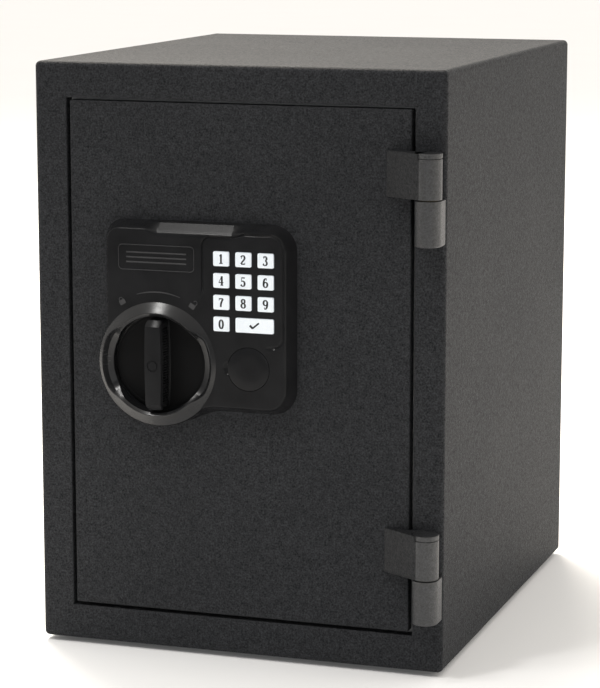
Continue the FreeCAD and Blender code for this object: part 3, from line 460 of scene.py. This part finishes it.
wholeStrap, leafStrap = strapOutlines()
for which in ("upper", "lower"):
    low, high = boxOf(which + "_strap")[4:]
    lowCap = high - hingeLook["capThick"]
    edge, neck = hingeLook["edge"], hingeLook["neckReach"]
    strap = makePiece(which + "_hinge_strap", [
        stack(wholeStrap, softEnds(low, lowCap - hingeLook["capGap"], edge), upright=True),
        stack(leafStrap, [(0, lowCap - neck)] + softEnds(low, high, edge)[5:], upright=True),
        stack(arc(pinAcross, pinOut, knuckleRadius, 0, 360, 65)[:-1],
              softEnds(lowCap, high, hingeLook["capEdge"], 0.3), upright=True),
        stack(arc(pinAcross, pinOut, knuckleRadius - hingeLook["neckInset"], 0, 360, 49)[:-1],
              [(0, lowCap - neck), (0, lowCap + neck)], upright=True),
    ], finish=[strapPaint, barrelPaint])
    # the leaf ends where the knuckle starts
    roundFrom = toFrame([(pinAcross - hingeLook["knuckleFrom"], 0, 0)])[0][0]
    for panel in strap.data.polygons:
        onKnuckle = panel.center.x > roundFrom and abs(panel.normal.z) < 0.9
        panel.material_index = otherFinish if onKnuckle else mainFinish
    evenNormals(strap)
    nodes = (which + "_strap",) + (("hinge_caps",) if which == "upper" else ())
    setOn(strap, "door", "door_paint", *nodes)

    low, high = boxOf(which + "_frame_barrel")[4:]
    leftSide, rightSide = pinAcross - knuckleRadius, pinAcross + knuckleRadius
    barrelOutline = np.vstack(([(leftSide - 0.9, 0.02), (rightSide, 0.02)],
                               arc(pinAcross, pinOut, knuckleRadius, 0, 180, 37),
                               [(leftSide, 1.6), (leftSide - 0.25, 0.7)]))
    barrel = makePiece(which + "_hinge_barrel", [
        stack(barrelOutline, softEnds(low, high, hingeLook["barrelEdge"],
                                      hingeLook["barrelEnd"]), upright=True),
    ], finish=[barrelPaint])
    evenNormals(barrel)
    setOn(barrel, "cabinet", "case_paint", which + "_frame_barrel")
print("hinge straps, caps and barrels are made")


# Lock housing: the plate, the dial's ring, the cover's seat and the raised lines.
housing = {
    "step": 0.6, "sunk": 1.0, "rim": 6.0, "soft": 2.2, "sweep": 13.0,
    "leftOfDial": 50.5, "belowDial": 39.6, "leftRound": 17.0, "rightRound": 22.0,
    "scoop": (40.0, 51.0, 117.0, 127.0),      # its two ends, from the housing's left edge
    "scoopExtra": 3.6, "wall": 1.2, "scoopFoot": 6.2,
    "ringOuter": 54.5, "ringBand": (53.0, 13.4), "crest": (43.6, 20.0), "bore": 41.0,
    "thumb": (49.0, 16.2, 10.0), "thumbHalf": 50.0, "thumbFade": 26.0,
    "groove": 1.3, "grooveHalf": 1.35, "grooveAside": (9.3, 6.9), "grooveAbove": (10.4, 13.8),
    "notch": (2.2, 4.2, 5.6), "dialHole": 51.6, "keyRound": 1.3, "lip": 18.2,
}
_, right, _, _, _, top = boxOf("lock_bezel")
dialAcross, dialUp = centreOf("dial_knob")
coverAcross, coverUp = centreOf("override_cover")
coverRadius = (boxOf("override_cover")[1] - boxOf("override_cover")[0]) / 2
face = boxOf("override_cover")[3]                     # how far the housing's face stands out
plateLeft = dialAcross - housing["leftOfDial"]
plateLow = dialUp - housing["belowDial"]
plateMiddle = (plateLeft + right) / 2


def ramp(values, low, high):
    return np.clip((values - low) / (high - low), 0, 1)


def eased(values, low, high):
    held = ramp(values, low, high)
    return held * held * (3 - 2 * held)


def outsideBox(x, z, left, right, low, high, radius):    # distance outside a rounded box
    sideways = np.abs(x - (left + right) / 2) - (right - left) / 2 + radius
    upward = np.abs(z - (low + high) / 2) - (high - low) / 2 + radius
    return (np.hypot(np.maximum(sideways, 0), np.maximum(upward, 0))
            + np.minimum(np.maximum(sideways, upward), 0) - radius)


def plateEdge(x, z):                  # distance outside the plate's base outline
    radius = np.where(x < plateMiddle, housing["leftRound"], housing["rightRound"])
    box = outsideBox(x, z, plateLeft, right, plateLow, top, radius)
    circle = np.hypot(x - dialAcross, z - dialUp) - housing["ringOuter"]
    blend = 2.0 + (housing["sweep"] - 2.0) * eased(x, dialAcross, dialAcross + 25)
    near = np.maximum(blend - np.abs(box - circle), 0) / blend
    return np.minimum(box, circle) - near * near * blend / 4


def fromPath(x, z, path):             # distance to a line, and how far along it, 0 to 1
    best, place = np.full(x.shape, 1e9), np.zeros(x.shape)
    spans = np.linalg.norm(np.diff(path, axis=0), axis=1)
    total, gone = spans.sum(), 0.0
    for start, span, direction in zip(path[:-1], spans, np.diff(path, axis=0)):
        along = np.clip(((x - start[0]) * direction[0] + (z - start[1]) * direction[1])
                        / span ** 2, 0, 1)
        away = np.hypot(x - start[0] - along * direction[0], z - start[1] - along * direction[1])
        closer = away < best
        best = np.where(closer, away, best)
        place = np.where(closer, (gone + along * span) / total, place)
        gone += span
    return best, place


# the line round the keypad, from below its left side, over the top and down to its foot
keysLeft, keysTop = boxOf("key_1")[0], boxOf("key_1")[5]
keysRight = boxOf("key_3")[1]
keysLow = boxOf("key_0")[4]
grooveLeft = keysLeft - housing["grooveAside"][0]
grooveRight = keysRight + housing["grooveAside"][1]
grooveHigh, grooveTop = (keysTop + above for above in housing["grooveAbove"])
groovePath = np.vstack((
    [(grooveLeft, keysLow + 26)],
    arc(grooveLeft + 7, grooveHigh - 7, 7, 180, 90, 9),
    [(grooveLeft + 25.8, grooveHigh), (grooveLeft + 37, grooveTop)],
    arc(grooveRight - 12, grooveTop - 12, 12, 90, 0, 13),
    arc(grooveRight - 9, keysLow - 2.6, 9, 0, -90, 10),
    [(grooveRight - 16.5, keysLow - 11.6)],
))


def plateHeight(x, z):
    edge = plateEdge(x, z)
    across = x - plateLeft
    a, b, c, d = housing["scoop"]
    dip = ramp(across, a, b) * (1 - ramp(across, c, d)) * eased(z, top - 30, top - 22)
    rim = housing["rim"] + housing["scoopExtra"] * dip
    wall = housing["wall"]            # the scoop stands on a steeper wall
    knee = face * wall / housing["rim"] * (1 - dip) + housing["scoopFoot"] * dip
    slope = np.where(-edge < wall, -edge / wall * knee,
                     knee + (-edge - wall) / (rim - wall) * (face - knee))
    near = np.maximum(housing["soft"] - np.abs(slope - face), 0) / housing["soft"]
    height = np.minimum(slope, face) - near * near * housing["soft"] / 4
    away, place = fromPath(x, z, groovePath)
    strength = eased(place, 0.0, 0.05) * (1 - eased(place, 0.95, 1.0))
    half = housing["grooveHalf"] * (1 + 0.35 * eased(place, 0.40, 0.55))
    dished = np.cos(np.clip(away / half, 0, 1) * math.pi) * 0.5 + 0.5
    height = height - housing["groove"] * dished * strength
    deep, wide, tall = housing["notch"]
    bowl = np.hypot((x - coverAcross + coverRadius) / wide, (z - coverUp) / tall)
    height = height - deep * np.clip(1 - bowl ** 2, 0, 1)
    return np.maximum(height, -housing["sunk"] + 0.1)


coverGap, keyGap, keyFlange = 0.35, 0.35, 0.8
recess = boxOf("override_cover")[2] - 0.6
openings = [lambda x, z: np.hypot(x - dialAcross, z - dialUp) - housing["dialHole"],
            lambda x, z: np.hypot(x - coverAcross, z - coverUp) - coverRadius - coverGap]
for digit in ["enter"] + list(range(10)):
    a, b, _, _, c, d = boxOf("key_" + str(digit))
    grow = keyGap - keyFlange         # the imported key's foot is wider than its cap
    openings.append(lambda x, z, edges=(a - grow, b + grow, c - grow, d + grow):
                    outsideBox(x, z, *edges, housing["keyRound"]))


def plateShell():                     # a fine grid whose open edges are drawn onto the openings
    step = housing["step"]
    x = np.arange(plateLeft - 6, right + 2, step)
    z = np.arange(dialUp - housing["ringOuter"] - 2, top + 2, step)
    gridX, gridZ = np.meshgrid(x, z, indexing="ij")
    keep = plateEdge(gridX, gridZ)[:-1, :-1] < 1.0
    midX, midZ = gridX[:-1, :-1] + step / 2, gridZ[:-1, :-1] + step / 2
    for opening in openings:
        keep &= opening(midX, midZ) > 0
        away = opening(gridX, gridZ)
        slopeX = (opening(gridX + 0.01, gridZ) - away) / 0.01
        slopeZ = (opening(gridX, gridZ + 0.01) - away) / 0.01
        close = np.abs(away) < step * 0.72
        gridX = np.where(close, gridX - away * slopeX, gridX)
        gridZ = np.where(close, gridZ - away * slopeZ, gridZ)
    height = plateHeight(gridX, gridZ)
    number = np.arange(gridX.size).reshape(gridX.shape)
    cells = np.stack((number[:-1, :-1][keep], number[1:, :-1][keep],
                      number[1:, 1:][keep], number[:-1, 1:][keep]), 1)
    used, cells = np.unique(cells, return_inverse=True)
    cells = cells.reshape(-1, 4)
    points = np.column_stack((gridX.ravel(), height.ravel(), gridZ.ravel()))[used]
    return points, cells


points, cells = plateShell()
mesh = bpy.data.meshes.new("housing_plate")
mesh.from_pydata(toFrame(points).tolist(), [], cells.tolist())
work = bmesh.new()
work.from_mesh(mesh)
rims = [edge for edge in work.edges if edge.is_boundary]
made = bmesh.ops.extrude_edge_only(work, edges=rims)["geom"]
floorLevel = toFrame([(0, -housing["sunk"], 0)])[0][1]
for one in made:
    if isinstance(one, bmesh.types.BMVert):
        one.co.y = floorLevel
foot = [one for one in made if isinstance(one, bmesh.types.BMEdge) and one.is_boundary]
bmesh.ops.triangle_fill(work, use_beauty=False, use_dissolve=False, edges=foot)
bmesh.ops.recalc_face_normals(work, faces=work.faces)
work.to_mesh(mesh)
work.free()
mesh.materials.append(finishes["housing_black"])
plate = bpy.data.objects.new("lock_housing", mesh)
bpy.context.scene.collection.objects.link(plate)
print("housing plate has", len(mesh.polygons), "faces")

barrelRadius = (boxOf("lock_barrel")[1] - boxOf("lock_barrel")[0]) / 2


def recessProfile(_):                 # the seat under the override cover, round the lock
    return np.array([(barrelRadius + 0.2, -0.8), (coverRadius + coverGap + 0.4, -0.8),
                     (coverRadius + coverGap + 0.4, recess), (barrelRadius + 0.2, recess)])


seat = makePiece("cover_seat", [turned(recessProfile, coverAcross, coverUp, 96)],
                 finish=[finishes["housing_black"]])


def ringProfile(angle):               # angle anticlockwise from three o'clock
    aside = min(abs((angle + 180) % 360 - 180), abs(angle % 360 - 180))
    dip = 1 - float(eased(np.array(aside), housing["thumbHalf"] - housing["thumbFade"],
                          housing["thumbHalf"]))
    bore = housing["bore"]
    bandOut, bandHigh = housing["ringBand"]
    crestOut, crestHigh = housing["crest"]
    thumbOut, thumbHigh, thumbLow = housing["thumb"]
    crestOut += (thumbOut - crestOut) * dip
    crestHigh += (thumbHigh - crestHigh) * dip
    lipOut, lipHigh = bore + 0.1, housing["lip"] + (thumbLow - housing["lip"]) * dip
    inner = [(bore, 2.0), (bore, lipHigh - 0.6), (lipOut + 0.15, lipHigh)]
    midOut, midHigh = (lipOut + crestOut) / 2 + 0.9 * dip, (lipHigh + crestHigh) / 2 - 1.2 * dip
    crown = [(midOut, midHigh), (crestOut - 0.7, crestHigh - 0.35 - 0.5 * dip),
             (crestOut, crestHigh), (crestOut + 0.6, crestHigh - 0.22)]
    outer = [(bandOut - 0.8, bandHigh + 0.75), (bandOut + 0.1, bandHigh - 0.2),
             (bandOut + 0.55, bandHigh - 1.4), (housing["ringOuter"], 0.0),
             (housing["ringOuter"], -0.8)]
    floor = [(6.2, -0.8), (6.2, 2.0), (bore * 0.5, 2.0)]
    return np.array(inner + crown + outer + floor)


ring = makePiece("dial_ring", [turned(ringProfile, dialAcross, dialUp, 240)], sharp=28,
                 finish=[ringPlastic])

# raised lines: the blank name plate, the arc over the dial, and the padlock marks
trim = {"line": 0.9, "proud": 0.5, "bars": 3, "barGap": 4.1, "arcRadius": 61.0,
        "markRadius": 60.0,
        "ends": (16.6, 84.0), "drops": (40.8, 19.8)}     # from the housing's left and top edges
platelet = (plateLeft + trim["ends"][0], plateLeft + trim["ends"][1],
            top - trim["drops"][0], top - trim["drops"][1])
shells = [ribbon(roundedOutline(*platelet, 3.5, 7), trim["line"], face - 0.2,
                 face + trim["proud"], closed=True, draft=0.28)]
for k in range(trim["bars"]):
    up = platelet[2] + 6.4 + trim["barGap"] * k
    shells.append(ribbon([(platelet[0] + 7, up), (platelet[1] - 7, up)], 1.5, face - 0.2,
                         face + 0.28, draft=0.35))
shells.append(ribbon(arc(dialAcross, dialUp, trim["arcRadius"], 107, 70, 28),
                     0.9 * np.sin(np.linspace(0.25, math.pi - 0.25, 28)) + 0.45,
                     face - 0.2, face + 0.35, draft=0.2))


def padlock(angle, opened):           # a small raised padlock, square to the dial's edge
    turn = math.radians(angle)
    centre = np.array((dialAcross + trim["markRadius"] * math.cos(turn),
                       dialUp + trim["markRadius"] * math.sin(turn)))
    outward = np.array((math.cos(turn), math.sin(turn)))
    sideways = np.array((math.sin(turn), -math.cos(turn)))

    def placed(outline):
        return centre + outline[:, :1] * sideways + outline[:, 1:] * outward

    body = placed(roundedOutline(-2.6, 2.6, -2.2, 1.6, 0.6, 4))[::-1]
    lift, swing = (1.3, 0.9) if opened else (0.0, 0.0)
    hoop = np.vstack(([(1.6 + swing, 1.5)], arc(swing, 2.3 + lift, 1.6, 0, 180, 11),
                      [(-1.6 + swing, (2.4 if opened else 1.5) + lift)]))
    return [stack(body, [(0, face - 0.2), (0, face + 0.12), (0.16, face + 0.28)]),
            ribbon(placed(hoop), 0.75, face - 0.2, face + 0.28, draft=0.18)]


shells += padlock(121, False) + padlock(58, True)
marks = makePiece("housing_marks", shells, sharp=25, finish=[raisedLineHighlight])

joined((ring, marks, seat, plate), 27)
evenNormals(plate)
setOn(plate, "door", "housing_black", "lock_bezel")
print("lock housing is joined")


# Dial knob: a disc with a grip across it.
knob = {"half": 38.0, "pitch": 2.2, "tooth": 1.1, "bandLow": 6.6, "bandHigh": 19.2, "dimple": 4.3,
        "foot": 8.5, "top": 7.5, "endHalf": 6.6, "facet": 5.0, "edge": 0.9,
        "discThick": 2.2}
knobLeft, knobRight, knobBack, knobFront, _, _ = boxOf("dial_knob")
discRadius = (knobRight - knobLeft) / 2
discFace = knobBack + knob["discThick"]


def discProfile(_):
    return np.array([(5.1, knobBack), (discRadius - 0.4, knobBack), (discRadius, knobBack + 0.4),
                     (discRadius, discFace - 0.5), (discRadius - 0.5, discFace),
                     (discRadius - 2.2, discFace), (discRadius - 2.6, discFace - 0.25),
                     (20.0, discFace - 0.25), (5.1, discFace - 0.25)])


def gripShell():                      # sections along the grip, each from foot to foot
    half, pitch, e = knob["half"], knob["pitch"], knob["edge"]
    teeth = int((half - 6.5) / pitch)
    ends = (0.0, 0.25, 0.9, 2.4, 4.2, 5.0)                       # closer where the ends round off
    places = [-half + v for v in ends]
    for k in range(-teeth, teeth + 1):
        places += [k * pitch + v for v in (-0.62, -0.34, 0.34, 0.62)]
    places += [half - v for v in reversed(ends)]
    sections = []
    for v in places:
        nearest = abs(v - round(v / pitch) * pitch)
        grooved = knob["tooth"] if nearest < 0.5 and abs(v) < half - 6.2 else 0.0
        barrel = 1 - (v / half) ** 2
        topHalf = knob["endHalf"] + (knob["top"] - knob["endHalf"]) * barrel
        footHalf = knob["foot"] - 1.0 + barrel
        fromEnd = half - abs(v)
        pinch = 1.3 * (1 - min(fromEnd / 2.4, 1)) ** 2           # rounded plan corners
        high = knobFront - max(0.0, knob["facet"] - fromEnd) * 0.92
        crown = 0.18 * barrel
        low, upper = knob["bandLow"], min(knob["bandHigh"], high - 3.2)

        def width(h):
            t = (h - discFace) / (knobFront - discFace)
            return footHalf + (topHalf - footHalf) * t - pinch

        side = [(width(discFace) + 0.15, discFace - 0.6), (width(discFace) + 0.15, low - 1.0),
                (width(low) - 0.35, low - 0.5), (width(low) - 0.35 - grooved, low),
                (width(upper) - 0.35 - grooved, upper), (width(upper) - 0.35, upper + 0.5),
                (width(upper + 0.8), upper + 1.0), (width(high), high - e),
                (width(high) - 0.29 * e, high - 0.29 * e), (width(high) - e, high - crown * 0.9),
                (0.0, high)]
        section = side + [(-a, b) for a, b in reversed(side[:-1])]
        sections.append([(dialAcross + a, b, dialUp + v) for a, b in section])
    count = len(sections[0])
    points = np.array(sections).reshape(-1, 3)
    faces = []
    for k in range(len(sections) - 1):
        for i in range(count):
            j = (i + 1) % count
            faces.append((k * count + i, k * count + j, (k + 1) * count + j,
                          (k + 1) * count + i))
    faces += [tuple(range(count)), tuple(range((len(sections) - 1) * count,
                                               len(sections) * count))]
    return points, faces


grip = makePiece("dial_knob_piece", [gripShell()], sharp=24,
                 finish=[finishes["housing_black"], discPlastic])


def dimpleProfile(_):                 # a shallow ring groove round a low button
    r = knob["dimple"]
    return np.array([(r - 0.55, knobFront - 0.75), (r + 0.55, knobFront - 0.75),
                     (r + 0.95, knobFront + 1), (r - 0.95, knobFront + 1)])


cutBy(grip, [turned(dimpleProfile, dialAcross, dialUp, 72)], "dimple")
disc = makePiece("dial_disc", [turned(discProfile, dialAcross, dialUp, 120) + (otherFinish,)],
                 sharp=28, finish=[finishes["housing_black"], discPlastic])
joined((disc, grip), 24)
setOn(grip, "dial", "housing_black", "dial_knob")
print("dial knob is made")


# Override cover.
coverLook = {"edge": 0.35, "wall": 1.6, "roof": 1.8}


def coverProfile(_):
    back = boxOf("override_cover")[2]
    e, wall = coverLook["edge"], coverLook["wall"]
    roof = face - coverLook["roof"]
    return np.array([(0.02, roof), (coverRadius - wall, roof), (coverRadius - wall, back),
                     (coverRadius, back), (coverRadius, face - e),
                     (coverRadius - 0.3 * e, face - 0.3 * e), (coverRadius - e, face),
                     (coverRadius * 0.5, face), (0.02, face)])


cover = makePiece("override_cap", [turned(coverProfile, coverAcross, coverUp, 120)], sharp=30,
                  finish=[finishes["housing_black"]])
setOn(cover, "cover", "housing_black", "override_cover")
print("override cover is made")


# Keys: a cap each, with its figure standing a little proud.
keyLook = {"round": 1.3, "edge": 0.55, "figureTall": 8.1, "thick": 1.6, "thin": 0.85,
           "ink": 0.06}


def curve(*corners, steps=12):        # a smooth stroke through Bezier control points
    corners, t = np.array(corners, float), np.linspace(0, 1, steps)[:, None]
    degree = len(corners) - 1
    return sum(math.comb(degree, i) * t ** i * (1 - t) ** (degree - i) * corners[i]
               for i in range(degree + 1))


def oval(a, b, wide, tall, start, stop, steps=24):
    angles = np.radians(np.linspace(start, stop, steps))
    return np.column_stack((a + wide * np.cos(angles), b + tall * np.sin(angles)))


# strokes in a box that wide and tall; a stroke with a number beside it is drawn that thick
figureBox = (4.6, 8.0)
figures = {
    "0": [oval(2.3, 4.0, 1.55, 3.55, 0, 360, 41)],
    "1": [curve((2.4, 0.4), (2.4, 7.9)), (curve((2.2, 7.6), (1.9, 6.7), (1.0, 6.4)), 0.75),
          (curve((0.9, 0.35), (3.9, 0.35)), 0.7)],
    "2": [np.vstack((oval(2.2, 5.75, 1.45, 1.85, 165, -25, 22),
                     curve((3.5, 4.9), (2.6, 3.3), (0.9, 1.9), (0.75, 0.7))[1:])),
          (curve((0.6, 0.6), (3.7, 0.6)), 1.0), (curve((3.75, 0.3), (3.95, 2.0)), 0.5),
          (curve((0.75, 5.5), (1.25, 5.5)), 1.1)],
    "3": [oval(2.0, 5.95, 1.35, 1.65, 150, -85, 22), oval(1.95, 2.2, 1.65, 1.85, 88, -155, 24),
          (curve((0.7, 6.5), (1.2, 6.5)), 1.0), (curve((0.4, 1.6), (0.95, 1.6)), 1.1)],
    "4": [curve((3.05, 0.4), (3.05, 7.8)), (curve((2.9, 7.6), (0.5, 2.7)), 0.55),
          (curve((0.35, 2.5), (4.4, 2.5)), 0.7), (curve((1.8, 0.35), (4.2, 0.35)), 0.65)],
    "5": [(curve((1.0, 7.3), (3.8, 7.3)), 0.95), (curve((1.0, 7.6), (0.95, 4.1)), 0.55),
          oval(1.95, 2.55, 1.65, 2.15, 125, -155, 28), (curve((0.4, 1.6), (0.95, 1.6)), 1.1)],
    "6": [oval(2.35, 2.5, 1.6, 2.1, 0, 360, 33),
          curve((0.78, 2.6), (0.60, 5.6), (1.5, 8.1), (3.3, 7.4), steps=16),
          (curve((2.9, 6.6), (3.5, 6.6)), 1.0)],
    "7": [(curve((0.7, 7.15), (4.0, 7.15)), 1.0), (curve((0.7, 7.5), (0.6, 5.6)), 0.55),
          curve((3.9, 7.0), (2.9, 4.9), (2.0, 3.6), (2.0, 0.3), steps=14)],
    "8": [oval(2.3, 5.9, 1.30, 1.65, 0, 360, 33), oval(2.3, 2.25, 1.60, 1.85, 0, 360, 33)],
    "9": [oval(2.25, 5.5, 1.6, 2.1, 0, 360, 33),
          curve((3.82, 5.4), (4.0, 2.4), (3.1, -0.1), (1.3, 0.6), steps=16),
          (curve((1.1, 1.4), (1.7, 1.4)), 1.0)],
}


def figureShells(text, across, up, level):
    scale = keyLook["figureTall"] / figureBox[1]
    shells = []
    for stroke in figures[text]:
        path, width = stroke if isinstance(stroke, tuple) else (stroke, None)
        if width is None:
            along = np.gradient(path, axis=0)
            along /= np.linalg.norm(along, axis=1)[:, None]
            width = np.hypot(keyLook["thick"] * along[:, 1], keyLook["thin"] * along[:, 0])
        placed = np.column_stack((across + (path[:, 0] - figureBox[0] / 2) * scale,
                                  up + (path[:, 1] - figureBox[1] / 2) * scale))
        shells.append(ribbon(placed, width * scale, level - 0.1, level + keyLook["ink"],
                             draft=0.02) + (otherFinish,))
    return shells


def tickShells(across, up, level):
    short = np.array([(-4.0, 0.3), (-1.4, -2.2)])
    long = np.array([(-1.75, -2.15), (4.0, 2.6)])
    return [ribbon(line + (across, up), wide, level - 0.1, level + keyLook["ink"], draft=0.02)
            + (otherFinish,) for line, wide in ((short, 1.9), (long, 1.4))]


for digit in [str(n) for n in range(10)] + ["enter"]:
    a, b, back, front, c, d = boxOf("key_" + digit)
    f, e = keyFlange, keyLook["edge"]
    cap = roundedOutline(a + f, b - f, c + f, d - f, keyLook["round"], 6)
    levels = [(0, back + 0.4), (0, front - e), (0.12 * e, front - 0.5 * e),
              (0.45 * e, front - 0.15 * e), (e, front - 0.02), (2.4 * e, front)]
    shells = [stack(cap, levels)]
    across, up = (a + b) / 2, (c + d) / 2
    shells += (tickShells(across, up, front) if digit == "enter"
               else figureShells(digit, across, up, front))
    key = makePiece("keycap_" + digit, shells, sharp=40,
                    finish=[finishes["key_white"], finishes["key_ink"]])
    setOn(key, "key_" + digit + "_cap", "key_white", "key_" + digit)
print("keys are made")


# Floor, light and camera.
studio = {
    "floor": (0.95, 0.95, 0.95), "floorFront": (0.18, 0.18, 0.183), "floorSize": 14.0,
    "floorTurn": (-1.8, -0.45),      # where the floor goes from its front tone to its own
    "behind": (1.25, 1.20, 1.13), "front": (0.10, 0.105, 0.115), "above": 0.55,
    "lamps": [   # name, place, size, watts, colour
        ("key_lamp", (-0.95, -1.70, 2.75), 0.42, 21.0, (1.0, 0.99, 0.97)),
        ("strip_lamp", (-0.90, -1.00, 2.95), 0.5, 12.0, (1.0, 0.99, 0.97)),
        ("back_lamp", (-1.0, 1.6, 2.9), 1.7, 145.0, (1.0, 0.93, 0.83)),
        ("side_lamp", (3.4, 0.2, 1.8), 1.6, 4.0, (1.0, 0.86, 0.70)),
        ("front_lamp", (0.95, -2.1, 0.5), 0.3, 2.4, (1.0, 1.0, 1.0)),
        ("fill_lamp", (0.20, -2.5, 0.40), 0.3, 1.8, (1.0, 1.0, 1.0)),
    ],
}
cameraLook = {"place": (0.7285, -2.2066, 0.6493), "towards": (-0.3136, 0.9334, -0.1743),
              "lens": 135.66}

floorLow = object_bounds()[0].z
size = studio["floorSize"]
floorMesh = bpy.data.meshes.new("studio_floor")
floorMesh.from_pydata([(-size, -size, floorLow), (size, -size, floorLow),
                       (size, size, floorLow), (-size, size, floorLow)], [], [(0, 1, 2, 3)])
floor = bpy.data.objects.new("studio_floor", floorMesh)
bpy.context.scene.collection.objects.link(floor)
floorFinish, shader, where = newFinish("floor_look", Roughness=0.9, Specular_IOR_Level=0.1,
                                       Emission_Color=tone(1, 1, 1), Emission_Strength=0.05)
back = where.node("ShaderNodeSeparateXYZ", None, {0: where}, 1).between(*studio["floorTurn"])
soft = where.noise(3.0, 2.0).between(0.3, 0.7)
pale = soft.blend(tone(*[v * 0.99 for v in studio["floor"]]), tone(*studio["floor"]))
feed(shader, Base_Color=back.blend(tone(*studio["floorFront"]), pale))
floorMesh.materials.append(floorFinish)

world = bpy.data.worlds.new("studio_surround")
bpy.context.scene.world = world
world.use_nodes = True
surround = world.node_tree.nodes["Background"]
looking = Wire(world.node_tree, None).node("ShaderNodeTexCoord", output="Generated")
depth = looking.node("ShaderNodeSeparateXYZ", None, {0: looking}, 1)
height = looking.node("ShaderNodeSeparateXYZ", None, {0: looking}, 2)
lit = (depth + height * studio["above"]).between(-0.75, 0.45)
shade = lit.blend(tone(*studio["front"]), tone(*studio["behind"]))
world.node_tree.links.new(shade.socket, surround.inputs["Color"])

middle = Vector(packedBox[0]).lerp(Vector(packedBox[1]), 0.5)
for name, place, wide, watts, colour in studio["lamps"]:
    lamp = bpy.data.lights.new(name, "AREA")
    lamp.shape, lamp.size, lamp.energy, lamp.color = "DISK", wide, watts, colour
    holder = bpy.data.objects.new(name, lamp)
    holder.location = place
    holder.rotation_euler = (middle - Vector(place)).to_track_quat("-Z", "Y").to_euler()
    bpy.context.scene.collection.objects.link(holder)

lens = bpy.data.cameras.new("view")
lens.lens, lens.sensor_width, lens.clip_start, lens.clip_end = cameraLook["lens"], 36.0, 0.05, 60
camera = bpy.data.objects.new("view", lens)
camera.location = cameraLook["place"]
camera.rotation_euler = Vector(cameraLook["towards"]).to_track_quat("-Z", "Y").to_euler()
bpy.context.scene.collection.objects.link(camera)
bpy.context.scene.camera = camera
bpy.context.scene.view_settings.view_transform = "Standard"
print("floor, lamps and camera are set")
